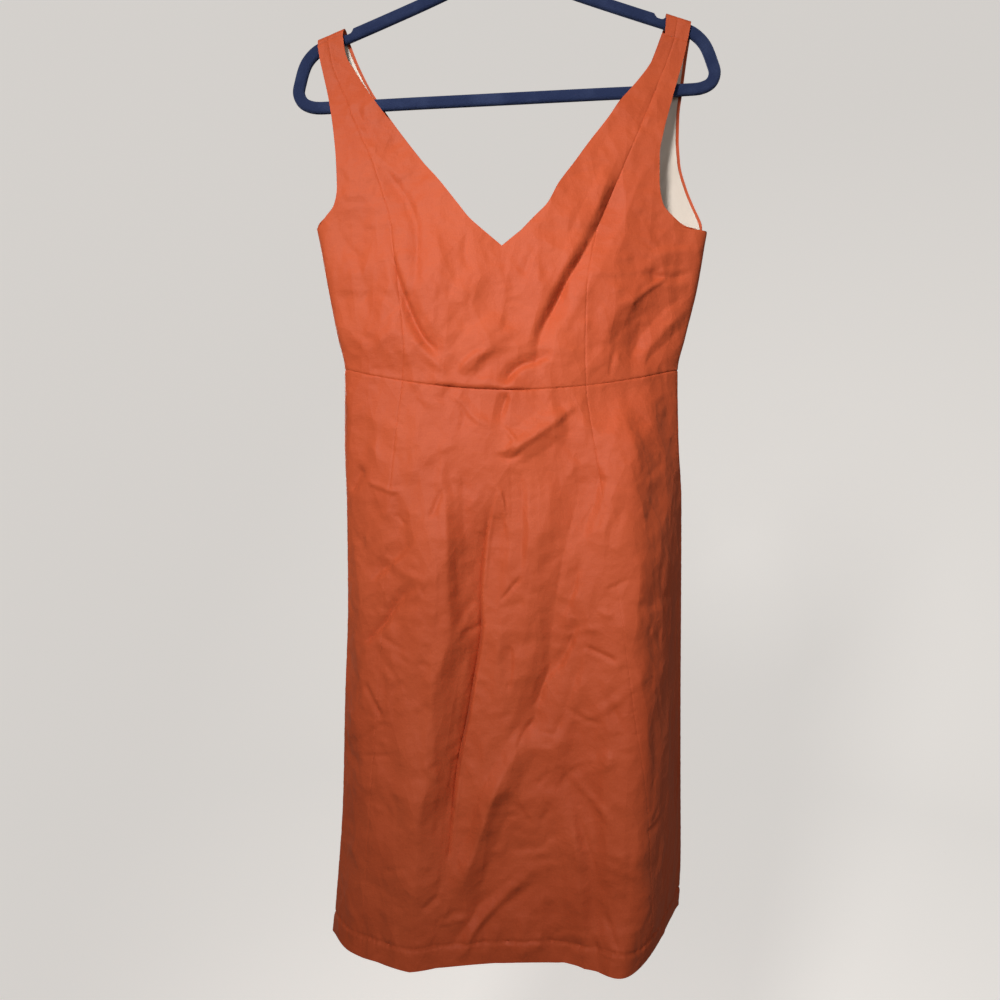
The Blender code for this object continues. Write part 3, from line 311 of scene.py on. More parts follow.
def steel_finish():
    steel = Finish("hook_steel", Metallic=1.0, Specular_IOR_Level=0.5)
    place = steel.place()
    cloud = steel.noise(place, 160.0, detail=4.0)
    drawn = steel.noise(place, 900.0, stretch=(1, 1, 0.06), detail=3.0)
    steel.set(Base_Color=steel.blend(cloud, (0.56, 0.56, 0.57, 1), (0.70, 0.70, 0.70, 1)),
              Roughness=cloud * 0.10 + drawn * 0.08 + 0.13, Normal=steel.bump(drawn, 0.00006, 0.5))
    return steel.material


STEEL = steel_finish()


def ferrule():
    foot = NECK_TOP + NECK_RISE + FERRULE_GAP
    points = []
    for radius, height in FERRULE_PROFILE:
        for k in range(FERRULE_SIDES):
            turn = 2 * pi * k / FERRULE_SIDES
            reach = radius * FERRULE_RADIUS
            points.append((reach * cos(turn), reach * sin(turn), foot + height * FERRULE_HEIGHT))
    faces = ring_faces(len(FERRULE_PROFILE), FERRULE_SIDES, closed=False)
    return tilted(mesh_object("steel_ferrule", points, faces, STEEL, smooth=40))


def hook():
    radius = HOOK_INNER_RADIUS + HOOK_WIRE / 2
    stem_foot = NECK_TOP + NECK_RISE + FERRULE_GAP * 2 + FERRULE_HEIGHT
    turns = np.linspace(HOOK_START, HOOK_END, HOOK_TURNS + 1)
    bend = [(radius * cos(turn), -HOOK_INNER_RADIUS + radius * sin(turn)) for turn in turns]
    elbow = (HOOK_ELBOW_X, (HOOK_STEM_TOP + bend[0][1]) / 2 - HOOK_WIRE / 4)
    line = through([(0.0, stem_foot), (0.0, HOOK_STEM_TOP), elbow] + bend, steps=20)
    line = evened(line, HOOK_RING_STEP)
    run = np.gradient(line, axis=0)
    run /= np.linalg.norm(run, axis=1)[:, None]
    to_tip = np.arange(len(line))[::-1] * HOOK_RING_STEP
    round_tip = np.sqrt(1 - np.clip(1 - to_tip / (HOOK_WIRE / 2), 0, 1) ** 2).clip(HOOK_TIP_LEAST)
    points = []
    for (x, z), (run_x, run_z), size in zip(line, run, round_tip):
        for k in range(HOOK_SIDES):
            turn = 2 * pi * k / HOOK_SIDES
            out = cos(turn) * HOOK_WIRE / 2 * size
            points.append((x + run_z * out, sin(turn) * HOOK_WIRE / 2 * size, z - run_x * out))
    faces = ring_faces(len(line), HOOK_SIDES, closed=False)
    return tilted(mesh_object("steel_hook", points, faces, STEEL))


declare(ferrule(), "hanger_ferrule")
declare(hook(), "hanger_hook")

# ---------------------------------------------------------------- the front of the bodice
# One panel of crisp slubbed cloth, forked by the V neck into the inner halves of both straps.  It is sewn
# to the side fronts along the princess seams and to the skirt along the waist, over which it blouses.
CLOTH = 0.0012
UNDERARM = -0.3590
NECK_POINT = -0.3733
WAIST = -0.5050
HEM = -1.0920
MIDDLE_X = 0.0051
BACK_MIDDLE_X = 0.0070
STEPS = {"front": 0.0020, "back": 0.0032}              # between the cloth's columns and rows
EDGE_OFFSETS = (0.0, 0.0005, 0.0011, 0.0020, 0.0034)   # columns this close to a seam

# One closed section of the body for each level.  y at named places round it; the front has negative y.
Section = namedtuple("Section", "level left_x left_y near_left front_left front_mid front_right "
                                "corner_x corner_y right_x right_y back_right back_mid back_left")
SECTIONS = [Section(*row) for row in (
    (-.120, -.235, .000, -.0054, -.0054, -.0054, -.0054, .208, -.0054, .250, .000, .0054, .0054, .0054),
    (-.176, -.230, .000, -.0054, -.0054, -.0054, -.0054, .206, -.0054, .248, .000, .0054, .0054, .0054),
    (-.205, -.222, .000, -.0074, -.0090, -.0120, -.0090, .202, -.0078, .243, .000, .0070, .0080, .0070),
    (-.250, -.212, .000, -.0112, -.0160, -.0200, -.0165, .196, -.0125, .236, .000, .0100, .0120, .0098),
    (-.300, -.204, .000, -.0150, -.0220, -.0270, -.0245, .190, -.0160, .230, .000, .0120, .0160, .0112),
    (-.359, -.1862, -.001, -.0140, -.0290, -.0330, -.0330, .185, -.0130, .2178, .000, .0105, .0190, .0100),
    (-.420, -.1748, .000, -.0180, -.0370, -.0370, -.0400, .170, -.0180, .2085, .004, .0160, .0210, .0130),
    (-.471, -.1648, .000, -.0180, -.0370, -.0390, -.0390, .158, -.0180, .1968, .007, .0175, .0220, .0135),
    (-.505, -.1574, .000, -.0180, -.0340, -.0400, -.0370, .152, -.0180, .1896, .009, .0190, .0225, .0140),
    (-.5775, -.1577, .000, -.0200, -.0380, -.0460, -.0450, .132, -.0440, .1912, .012, .0260, .0260, .0160),
    (-.646, -.1558, .002, -.0240, -.0430, -.0500, -.0530, .136, -.0550, .1958, .018, .0320, .0290, .0190),
    (-.744, -.1549, .003, -.0280, -.0470, -.0520, -.0570, .138, -.0620, .1965, .022, .0370, .0330, .0210),
    (-.848, -.1581, .004, -.0300, -.0500, -.0530, -.0590, .136, -.0680, .1969, .026, .0410, .0370, .0230),
    (-.952, -.1607, .006, -.0300, -.0540, -.0550, -.0610, .135, -.0740, .1978, .030, .0450, .0410, .0260),
    (-1.041, -.1669, .008, -.0310, -.0570, -.0560, -.0620, .131, -.0800, .1990, .035, .0490, .0440, .0280),
    (HEM, -.1717, .0095, -.0310, -.0590, -.0560, -.0620, .117, -.0860, .1970, .038, .0520, .0460, .0290),
)]
NEAR_LEFT_IN = 0.0260     # distance of that place from the left edge
FRONT_LEFT_X = -0.0850
FRONT_RIGHT_X = 0.0780
BACK_IN = 0.0450          # of back_left and back_right from their edges
ROUND_IN = 0.0040         # the side edges are soft bends
ROUND_SHARE = 0.55
ROUND_MOST = 0.0080

# Where the long seams run.  side_right is how far the right side seam lies in front of the right edge.
Seam = namedtuple("Seam", "level front_left front_right side_right back_left back_right")
SEAMS = [Seam(*row) for row in (
    (-0.359, -0.1062, 0.1015, -0.0080, -0.1150, 0.1160),
    (-0.420, -0.0990, 0.0890, -0.0070, -0.1080, 0.1120),
    (-0.471, -0.0930, 0.0880, -0.0010, -0.0980, 0.1080),
    (-0.505, -0.0950, 0.0893, 0.0060, -0.0920, 0.1060),
    (-0.5775, -0.1030, 0.0975, 0.0055, -0.0960, 0.1100),
    (-0.646, -0.1085, 0.1050, 0.0020, -0.1010, 0.1140),
    (-0.744, -0.1130, 0.1185, 0.0000, -0.1060, 0.1180),
    (-0.848, -0.1190, 0.1305, 0.0000, -0.1110, 0.1220),
    (-0.952, -0.1260, 0.1445, 0.0000, -0.1160, 0.1260),
    (HEM, -0.1340, 0.1500, 0.0000, -0.1220, 0.1300),
)]

# How far a level line hangs down in the middle of the front and of the back, and how much higher it ends
# on the right.
Sag = namedtuple("Sag", "level front back lift")
SAGS = [Sag(*row) for row in (
    (-0.359, 0.0105, 0.0020, -0.0035),
    (NECK_POINT, 0.0120, 0.0030, -0.0030),
    (-0.440, 0.0200, 0.0060, 0.0000),
    (-0.505, 0.0265, 0.0080, 0.0010),
    (-0.700, 0.0120, 0.0060, 0.0050),
    (-0.900, 0.0020, 0.0020, 0.0090),
    (HEM, 0.0010, 0.0000, 0.0120),
)]

# The upper bodice, a row for each rib from the armhole's edge to the neck's edge, from the underarm up.
# The last rib of each table lies at the strap's top and takes its height from the hanger's arm.
Rib = namedtuple("Rib", "outer_x outer_z seam_x inner_x inner_z")
RIBS = {
    ("front", "left"): [Rib(*row) for row in (
        (-0.1862, -0.3590, -0.1062, -0.0150, -0.3692),
        (-0.1742, -0.3480, -0.1088, -0.0275, -0.3576),
        (-0.1667, -0.3389, -0.1117, -0.0388, -0.3430),
        (-0.1629, -0.3200, -0.1187, -0.0580, -0.3180),
        (-0.1637, -0.2950, -0.1268, -0.0785, -0.2938),
        (-0.1668, -0.2650, -0.1402, -0.0996, -0.2650),
        (-0.1723, -0.2303, -0.1544, -0.1258, -0.2301),
        (-0.1785, -0.2030, -0.1654, -0.1432, -0.2030),
        (-0.1829, -0.1840, -0.1715, -0.1560, -0.1795),
        (-0.1850, 0.0, -0.1740, -0.1593, 0.0),
    )],
    ("front", "right"): [Rib(*row) for row in (
        (0.2178, -0.3625, 0.1015, 0.0245, -0.3708),
        (0.1960, -0.3600, 0.1043, 0.0370, -0.3578),
        (0.1790, -0.3490, 0.1096, 0.0500, -0.3443),
        (0.1690, -0.3370, 0.1170, 0.0625, -0.3218),
        (0.1655, -0.3150, 0.1257, 0.0770, -0.3015),
        (0.1655, -0.2900, 0.1358, 0.0935, -0.2775),
        (0.1700, -0.2650, 0.1463, 0.1120, -0.2525),
        (0.1770, -0.2390, 0.1565, 0.1270, -0.2300),
        (0.1850, -0.2110, 0.1663, 0.1445, -0.2090),
        (0.1915, -0.1890, 0.1750, 0.1590, -0.1885),
        (0.1970, 0.0, 0.1840, 0.1738, 0.0),
    )],
    ("back", "left"): [Rib(*row) for row in (
        (-0.1862, -0.3590, -0.1150, -0.0090, -0.3635),
        (-0.1752, -0.3473, -0.1160, -0.0180, -0.3540),
        (-0.1680, -0.3360, -0.1180, -0.0310, -0.3410),
        (-0.1640, -0.3140, -0.1230, -0.0490, -0.3210),
        (-0.1650, -0.2870, -0.1300, -0.0720, -0.2900),
        (-0.1678, -0.2600, -0.1395, -0.0945, -0.2620),
        (-0.1718, -0.2350, -0.1500, -0.1135, -0.2370),
        (-0.1776, -0.2080, -0.1620, -0.1325, -0.2090),
        (-0.1826, -0.1860, -0.1690, -0.1455, -0.1830),
        (-0.1850, 0.0, -0.1735, -0.1560, 0.0),
    )],
    ("back", "right"): [Rib(*row) for row in (
        (0.2178, -0.3625, 0.1160, 0.0215, -0.3635),
        (0.2142, -0.3480, 0.1175, 0.0310, -0.3530),
        (0.2080, -0.3329, 0.1195, 0.0440, -0.3380),
        (0.1998, -0.3107, 0.1245, 0.0630, -0.3160),
        (0.1934, -0.2852, 0.1330, 0.0860, -0.2880),
        (0.1918, -0.2600, 0.1435, 0.1080, -0.2600),
        (0.1923, -0.2350, 0.1550, 0.1290, -0.2330),
        (0.1955, -0.2080, 0.1675, 0.1480, -0.2080),
        (0.1990, -0.1784, 0.1790, 0.1615, -0.1810),
        (0.2035, 0.0, 0.1890, 0.1765, 0.0),
    )],
}

# The largest folds: a curve through three places, its depth (a ridge is negative), and how far it spreads to
# its left and its right.
Fold = namedtuple("Fold", "x1 z1 x2 z2 x3 z3 depth left right")
FOLDS = {
    "front": [Fold(*row) for row in (
        (0.003, -0.616, -0.018, -0.795, -0.048, -1.030, 0.0050, 0.030, 0.012),   # the long valley
        (-0.052, -0.600, -0.062, -0.800, -0.080, -1.080, -0.0050, 0.022, 0.016),   # its left lip
        (0.008, -0.900, -0.016, -0.960, -0.042, -1.020, -0.0030, 0.012, 0.014),
        (0.088, -0.600, 0.060, -0.720, 0.048, -0.820, 0.0060, 0.016, 0.020),
        (0.058, -0.780, 0.040, -0.840, 0.028, -0.880, 0.0050, 0.012, 0.012),
        (0.072, -0.920, 0.078, -0.990, 0.080, -1.070, -0.0045, 0.016, 0.012),
        (0.100, -0.780, 0.108, -0.900, 0.104, -1.020, -0.0040, 0.018, 0.016),
        (0.070, -0.552, 0.040, -0.575, 0.008, -0.596, -0.0050, 0.010, 0.012),
        (-0.070, -0.580, -0.085, -0.640, -0.130, -0.730, 0.0022, 0.014, 0.014),
        (-0.080, -0.720, -0.110, -0.760, -0.145, -0.800, 0.0022, 0.012, 0.012),
        (0.160, -0.620, 0.150, -0.660, 0.152, -0.700, 0.0022, 0.014, 0.014),
        (0.000, -0.640, 0.012, -0.680, 0.014, -0.600, 0.0030, 0.012, 0.012),
        (0.140, -0.275, 0.104, -0.360, 0.042, -0.470, 0.0030, 0.010, 0.012),   # from strap to waist
        (0.124, -0.300, 0.088, -0.380, 0.064, -0.450, -0.0045, 0.010, 0.014),
        (-0.118, -0.300, -0.085, -0.360, -0.082, -0.440, 0.0025, 0.010, 0.010),
        (-0.100, -0.425, -0.078, -0.475, -0.050, -0.495, 0.0030, 0.010, 0.010),
        (-0.040, -0.515, -0.010, -0.480, 0.012, -0.462, -0.0050, 0.012, 0.010),
        (0.165, -0.440, 0.120, -0.475, 0.104, -0.500, 0.0020, 0.012, 0.012),
        (0.150, -0.410, 0.172, -0.402, 0.196, -0.400, 0.0015, 0.010, 0.010),
    )],
    "back": [Fold(*row) for row in (
        (-0.060, -0.560, -0.066, -0.800, -0.080, -1.087, 0.0090, 0.030, 0.026),
        (0.060, -0.600, 0.070, -0.820, 0.082, -1.087, 0.0100, 0.028, 0.030),
        (-0.004, -0.700, 0.000, -0.900, 0.002, -1.087, -0.0050, 0.030, 0.030),
        (-0.120, -0.300, -0.090, -0.380, -0.060, -0.470, 0.0040, 0.018, 0.018),
        (0.126, -0.300, 0.096, -0.380, 0.070, -0.470, 0.0045, 0.018, 0.018),
    )],
}

# The main creases, in millimetres: the places that a crease runs through, its depth (a ridge is negative),
# and how wide its two walls are, left and right of one who looks along it from its last place to its first.
Crease = namedtuple("Crease", "places depth left right")
BODICE_FRONT_CREASES = [Crease(*row) for row in (
    ([(-110, -377), (-103, -403), (-95, -431), (-84, -458), (-72, -480), (-59, -492),
      (-46, -495)], 3.6, 7, 5),
    ([(-108, -403), (-92, -441), (-79, -469), (-63, -489), (-46, -497)], 1.2, 8, 20),
    ([(22, -461), (7, -469), (-4, -476), (-17, -487), (-28, -499), (-38, -510), (-46, -521)], 3.4, 16, 9),
    ([(22, -486), (1, -490), (-19, -497), (-34, -509), (-45, -520)], -2.1, 7, 9),
    ([(-28, -365), (-30, -381), (-31, -397), (-21, -413)], 1.5, 7, 4),
    ([(-38, -409), (-44, -424), (-48, -438)], 0.9, 5, 10),
    ([(208, -417), (193, -429), (171, -447), (153, -467), (141, -486), (131, -513)], 4.2, 28, 14),
    ([(200, -455), (186, -466), (175, -478), (158, -493), (145, -512)], 2.0, 9, 12),
    ([(179, -410), (151, -428), (127, -449)], -2.0, 4, 4),
    ([(109, -399), (101, -397), (93, -398)], 0.8, 4, 4),
    ([(-90, -472), (-76, -489), (-62, -503), (-47, -517)], -2.2, 7, 6),
    ([(-42, -441), (-35, -459), (-27, -474)], 1.2, 7, 6),
    ([(-2, -403), (8, -431), (3, -456)], -1.2, 12, 9),
    ([(-144, -381), (-134, -426), (-124, -471)], 1.2, 10, 12),
    ([(43, -381), (31, -403), (25, -427)], 1.2, 9, 6),
    ([(-144, -234), (-134, -260), (-125, -281)], 1.2, 6, 6),
    ([(167, -212), (153, -242), (143, -266)], 1.2, 6, 6),
    ([(-64, -373), (-56, -403), (-60, -441)], -1.0, 14, 10),
    ([(121, -486), (115, -503), (113, -520)], 1.4, 5, 4),
    ([(139, -281), (122, -318), (106, -358), (86, -396), (71, -422), (55, -452), (44, -473),
      (40, -499)], 6.0, 11, 22),
    ([(98, -374), (86, -396), (71, -422), (55, -452), (44, -473), (40, -499), (41, -516)], 4.5, 8, 16),
    ([(59, -493), (49, -497), (38, -502), (25, -506), (17, -512), (10, -521), (6, -532)], 5.4, 10, 7),
    ([(-132, -287), (-120, -299), (-106, -313), (-93, -331), (-85, -347), (-80, -363), (-80, -386),
      (-80, -403), (-78, -421), (-77, -439)], 1.9, 12, 6),
    ([(149, -396), (141, -427), (119, -454), (107, -478), (102, -516)], -3.0, 18, 14),
    ([(208, -387), (191, -386), (171, -389), (151, -398)], -2.2, 8, 14),
    ([(204, -404), (183, -412), (163, -413), (143, -405)], 2.7, 7, 9),
)]
BODICE_BACK_CREASES = [Crease(*row) for row in (
    ([(-150, -400), (-120, -430), (-96, -470)], 2.0, 16, 8),
    ([(140, -380), (118, -420), (92, -452), (80, -492)], 2.8, 18, 8),
    ([(-60, -420), (-40, -450), (-34, -490)], -1.8, 14, 10),
    ([(30, -400), (44, -440), (40, -482)], 1.6, 12, 8),
    ([(-110, -290), (-100, -330), (-84, -360)], 1.4, 12, 8),
    ([(180, -420), (150, -440), (122, -446)], 1.4, 6, 9),
    ([(-20, -500), (4, -478), (26, -466)], -1.8, 9, 9),
    ([(150, -290), (132, -330), (120, -352)], 1.2, 10, 7),
)]
BODICE_CREASES = {"front": BODICE_FRONT_CREASES, "back": BODICE_BACK_CREASES}
CREASE_TAPER = 0.27         # share of its length over which a crease starts and ends
CREASE_FOOT = 0.12          # share of a wall over which it eases out
FOLD_TAPER = 0.20
FOLD_WALL = 1.7             # width of a fold's flat wall, for how far it spreads
SMALL_CREASES = 240         # faint ones on each face, besides those listed
SMALL_CREASE_SEED = 11
STREWN_X = (-165, 195)      # in millimetres
STREWN_Z = (-1085, -200)
SWELLS = 14                 # broad soft waves of the hanging cloth
SWELL_DEPTH = 0.0004
SWELL_SEEDS = {"front": 5, "back": 4}
CALM_FROM = 0.0040          # round the side edges the cloth runs smooth
CALM_TO = 0.0150
FOLD_CALM = 4               # the largest folds run out so many times faster there
OUT_REACH = 0.0040          # along the section, for the direction out of it
PLACES = 5                  # the first values of a row's points: x, y, z and the direction out
STRAP_SEAM_DROP = {"left": 0.0020, "right": 0.0185}          # below the arm's top, on the front
WRAP_RADIUS = 0.0054
WRAP_ROWS = 14
WRAP_STEP = 0.0016
ARM_AT = (0.1700, -0.1535)      # a point on the middle line of the arm, where the strap lies
ARM_SLOPE = radians(20.7)


def between_rows(levels, values, at):
    """A monotone cubic through a column of a table, so nothing between two rows overshoots them."""
    order = np.argsort(levels)
    x = np.asarray(levels, float)[order]
    y = np.asarray(values, float)[order]
    step = np.diff(x)
    rise = np.diff(y) / step
    slope = np.concatenate([rise[:1], np.zeros(len(x) - 2), rise[-1:]])
    for i in range(1, len(x) - 1):
        if rise[i - 1] * rise[i] > 0:
            wide = 2 * step[i] + step[i - 1]
            near = step[i] + 2 * step[i - 1]
            slope[i] = (wide + near) / (wide / rise[i - 1] + near / rise[i])
    at = min(max(at, x[0]), x[-1])
    i = min(int(np.searchsorted(x, at, side="right")) - 1, len(step) - 1)
    t = (at - x[i]) / step[i]
    hermite = ((2 * t - 3) * t * t + 1) * y[i] + (3 - 2 * t) * t * t * y[i + 1]
    return hermite + step[i] * (t * (1 - t) ** 2 * slope[i] - t * t * (1 - t) * slope[i + 1])


def row_at(table, level):
    levels = [row.level for row in table]
    return type(table[0])(*[between_rows(levels, [getattr(row, name) for row in table], level)
                            for name in table[0]._fields])


def smoothstep(value):
    value = np.clip(value, 0, 1)
    return value * value * (3 - 2 * value)


def rounded(depth):
    """How deep a side edge's soft bend reaches before the panel runs on."""
    return max(min(depth * ROUND_SHARE, ROUND_MOST), -ROUND_MOST)


class Body:
    """The closed section at one level, measured along its length from the left edge by way of the front."""

    made = {}

    def __init__(self, level):
        row = row_at(SECTIONS, level)
        outline = through([
            (row.left_x, row.left_y),
            (row.left_x + ROUND_IN, row.left_y + rounded(row.near_left - row.left_y)),
            (row.left_x + NEAR_LEFT_IN, row.near_left),
            (FRONT_LEFT_X, row.front_left),
            (0.0, row.front_mid),
            (FRONT_RIGHT_X, row.front_right),
            (row.corner_x, row.corner_y),
            (row.right_x - ROUND_IN, row.right_y + rounded(row.corner_y - row.right_y)),
            (row.right_x, row.right_y),
            (row.right_x - ROUND_IN, row.right_y + rounded(row.back_right - row.right_y)),
            (row.right_x - BACK_IN, row.back_right),
            (MIDDLE_X, row.back_mid),
            (row.left_x + BACK_IN, row.back_left),
            (row.left_x + ROUND_IN, row.left_y + rounded(row.back_left - row.left_y)),
        ], steps=40, closed=True)
        outline = np.roll(outline, -int(np.argmin(outline[:, 0])), axis=0)
        outline = np.vstack([outline, outline[:1]])
        self.level = level
        self.points = outline
        self.length = run_length(outline)
        self.total = self.length[-1]
        self.edge = int(np.argmax(outline[:, 0]))
        self.edge_length = self.length[self.edge]
        self.sag = row_at(SAGS, level)

    @classmethod
    def at(cls, level):
        key = round(level, 6)
        if key not in cls.made:
            cls.made[key] = cls(level)
        return cls.made[key]

    def along(self, face, x):
        """How far round the section x lies, on its front or its back."""
        if face == "front":
            return np.interp(x, self.points[:self.edge + 1, 0], self.length[:self.edge + 1])
        return np.interp(x, self.points[self.edge:, 0][::-1], self.length[self.edge:][::-1])

    def row(self, distance, z=None):
        """A row of the cloth: x, y, z, the direction out of it, 1 on the front, calm, and the distance."""
        wrapped = distance % self.total
        x = np.interp(wrapped, self.length, self.points[:, 0])
        y = np.interp(wrapped, self.length, self.points[:, 1])
        ahead = (wrapped + OUT_REACH) % self.total
        behind = (wrapped - OUT_REACH) % self.total
        dx, dy = [np.interp(ahead, self.length, places) - np.interp(behind, self.length, places)
                  for places in self.points.T]
        size = np.hypot(dx, dy)
        front = wrapped <= self.edge_length
        if z is None:
            across = (x - self.points[0, 0]) / (self.points[self.edge, 0] - self.points[0, 0])
            hang = 1 - (2 * across - 1) ** 2
            sag = np.where(front, self.sag.front, self.sag.back)
            z = self.level + self.sag.lift * across - hang * sag
        to_left = np.minimum(wrapped, self.total - wrapped)
        to_edge = np.minimum(to_left, np.abs(wrapped - self.edge_length))
        calm = smoothstep((to_edge - CALM_FROM) / (CALM_TO - CALM_FROM))
        return np.stack([x, y, z, dy / size, -dx / size, front, calm, distance], axis=1)


def seam_distance(body, seam):
    """How far round the section each seam lies."""
    row = row_at(SEAMS, body.level)
    return {
        "side_left": 0.0,
        "front_left": body.along("front", row.front_left),
        "front_middle": body.along("front", MIDDLE_X),
        "front_right": body.along("front", row.front_right),
        "side_right": body.edge_length - row.side_right,
        "back_right": body.along("back", row.back_right),
        "back_middle": body.along("back", BACK_MIDDLE_X),
        "back_left": body.along("back", row.back_left),
        "side_end": body.total,
    }[seam]


def columns(width, count):
    """Shares of a row's width: even inside, and close together at its two ends."""
    near = np.array(EDGE_OFFSETS) / width
    inside = np.linspace(near[-1], 1 - near[-1], count)
    return np.concatenate([near[:-1], inside, 1 - near[:-1][::-1]])


def closed_row(level, start, end, count, guide=None):
    """A row between two seams, and how far each of its points lies from the first seam and from the last.

    One column of the cloth follows the guide, so that a sharp fold there is drawn clean.
    """
    body = Body.at(level)
    a = seam_distance(body, start)
    b = seam_distance(body, end)
    width = abs(b - a)
    share = columns(width, count)
    if guide is not None:
        x = np.interp(-level, -guide[:, 1], guide[:, 0])
        z = body.row(np.array([body.along("front", x)]))[0, 2]
        x = np.interp(-z, -guide[:, 1], guide[:, 0])
        wanted = (body.along("front", x) - a) / (b - a)
        pinned = share[int(len(share) * GUIDE_COLUMN)]
        after = 1 - (1 - share) * (1 - wanted) / (1 - pinned)
        share = np.where(share < pinned, share * wanted / pinned, after)
    return body.row(a + (b - a) * share), share * width, (1 - share) * width


def arm_slope(side):
    return (ARM_SLOPE if side == "left" else -ARM_SLOPE) + HANGER_TILT


def arm_top(side, x):
    """The middle of the strap's bend over the hanger's arm, at x."""
    sign = -1 if side == "left" else 1
    at_x = sign * ARM_AT[0] * cos(HANGER_TILT) - ARM_AT[1] * sin(HANGER_TILT)
    at_z = sign * ARM_AT[0] * sin(HANGER_TILT) + ARM_AT[1] * cos(HANGER_TILT)
    slope = arm_slope(side)
    centre = at_z + (x - at_x) * tan(slope)
    return centre + (HANGER_HALF_HEIGHT - HANGER_HALF_DEPTH) / cos(slope)


def rib_at(face, side, at):
    """The rib at any place between the table's ribs, counted from the underarm."""
    table = RIBS[face, side]
    drop = STRAP_SEAM_DROP[side] if face == "front" else 0.0
    last = table[-1]
    table = table[:-1] + [last._replace(outer_z=arm_top(side, last.outer_x) - drop,
                                        inner_z=arm_top(side, last.inner_x) - drop)]
    return Rib(*[between_rows(range(len(table)), [getattr(rib, name) for rib in table], at)
                 for name in Rib._fields])


def rib_row(face, rib, start_x, end_x, count):
    body = Body.at(rib.outer_z)
    width = abs(end_x - start_x)
    share = columns(width, count)
    x = start_x + (end_x - start_x) * share
    z = rib.outer_z + (rib.inner_z - rib.outer_z) * (x - rib.outer_x) / (rib.inner_x - rib.outer_x)
    return body.row(body.along(face, x), z), share * width, (1 - share) * width


def rib_places(face, side):
    """Where the rows of the upper bodice lie, in ribs, so that they are about a step apart."""
    table = RIBS[face, side]
    heights = [rib.outer_z for rib in table[:-1]] + [arm_top(side, table[-1].outer_x)]
    places = [0.0]
    for k, (low, high) in enumerate(zip(heights[:-1], heights[1:])):
        inner = abs(table[k + 1].inner_z - table[k].inner_z) if k + 2 < len(table) else 0
        steps = max(2, int(round(max(high - low, inner) / STEPS[face])))
        places += [k + (j + 1) / steps for j in range(steps)]
    return places


def wrap_rows(side, start, end, count, inset):
    """The back strap from the arm's back, over its top and down to the seam on its front."""
    back = RIBS["back", side][-1]
    front = RIBS["front", side][-1]
    bend = pi * WRAP_RADIUS
    whole = bend + STRAP_SEAM_DROP[side]
    stops = [bend * (k + 1) / WRAP_ROWS for k in range(WRAP_ROWS)]
    stops += list(np.linspace(bend, whole, max(2, int((whole - bend) / WRAP_STEP)))[1:])
    rows = []
    for stop in stops:
        share = stop / whole
        edges = {name: getattr(back, name) + (getattr(front, name) - getattr(back, name)) * share
                 for name in ("outer_x", "seam_x", "inner_x")}
        back_off = np.sign(edges[end] - edges[start]) * inset
        if start == "outer_x":
            edges[start] += back_off
        else:
            edges[end] -= back_off
        width = abs(edges[end] - edges[start])
        part = columns(width, count)
        x = edges[start] + (edges[end] - edges[start]) * part
        angle = min(stop / WRAP_RADIUS, pi)
        rise = WRAP_RADIUS * sin(angle) / cos(arm_slope(side))
        z = arm_top(side, x) + rise - max(stop - bend, 0)
        blank = np.zeros(len(x))
        out = blank + cos(angle)
        points = np.stack([x, blank + WRAP_RADIUS * cos(angle), z, blank, out, blank, blank, x], axis=1)
        rows.append((points, part * width, (1 - part) * width))
    return rows


def mixed(first, second, share):
    """A row a share of the way between two others."""
    return tuple(a + (b - a) * share for a, b in zip(first, second))


def bodice_rows(face, side, part, inset=0.0):
    """The rows of a side panel, or of half of the middle one, from the waist to the strap's end.

    The inset holds them back from the open edges.
    """
    seam = f"{face}_{side}"
    outer = "side_end" if (face, side) == ("back", "left") else f"side_{side}"
    start, end = (outer, seam) if part == "side" else (seam, f"{face}_middle")
    step = STEPS[face]
    body = Body.at(WAIST)
    count = int(abs(seam_distance(body, end) - seam_distance(body, start)) / step)
    levels = np.linspace(WAIST, NECK_POINT, int((NECK_POINT - WAIST) / step))
    levels = np.concatenate([[WAIST], WAIST + np.array(EDGE_OFFSETS[1:]), levels[2:]])
    rows = [closed_row(level, start, end, count) for level in levels]
    across = ("outer_x", "seam_x") if part == "side" else ("seam_x", "inner_x")

    def rib(at):
        here = rib_at(face, side, at)
        first_x = getattr(here, across[0])
        last_x = getattr(here, across[1])
        back_off = np.sign(last_x - first_x) * inset * min(1.0, at)
        if part == "side":
            return rib_row(face, here, first_x + back_off, last_x, count)
        return rib_row(face, here, first_x, last_x - back_off, count)

    first, from_start, from_end = rib(0)
    if part == "side":
        move = closed_row(UNDERARM, start, end, count)[0] - first
    else:
        seam_end = closed_row(UNDERARM, outer, seam, 4)[0][-1]
        move = (seam_end - first[0]) * (1 - from_start / from_start[-1])[:, None]
    move[:, PLACES:] = 0
    underarm = (first + move, from_start, from_end)
    steps = int(round((UNDERARM - NECK_POINT) / step))
    rows += [mixed(rows[-1], underarm, k / steps) for k in range(1, steps + 1)]
    for at in rib_places(face, side)[1:]:
        points, from_start, from_end = rib(at)
        rows.append((points + move * max(0.0, 1 - at) ** 2, from_start, from_end))
    if face == "back":
        rows += wrap_rows(side, *across, count, inset)
    return rows


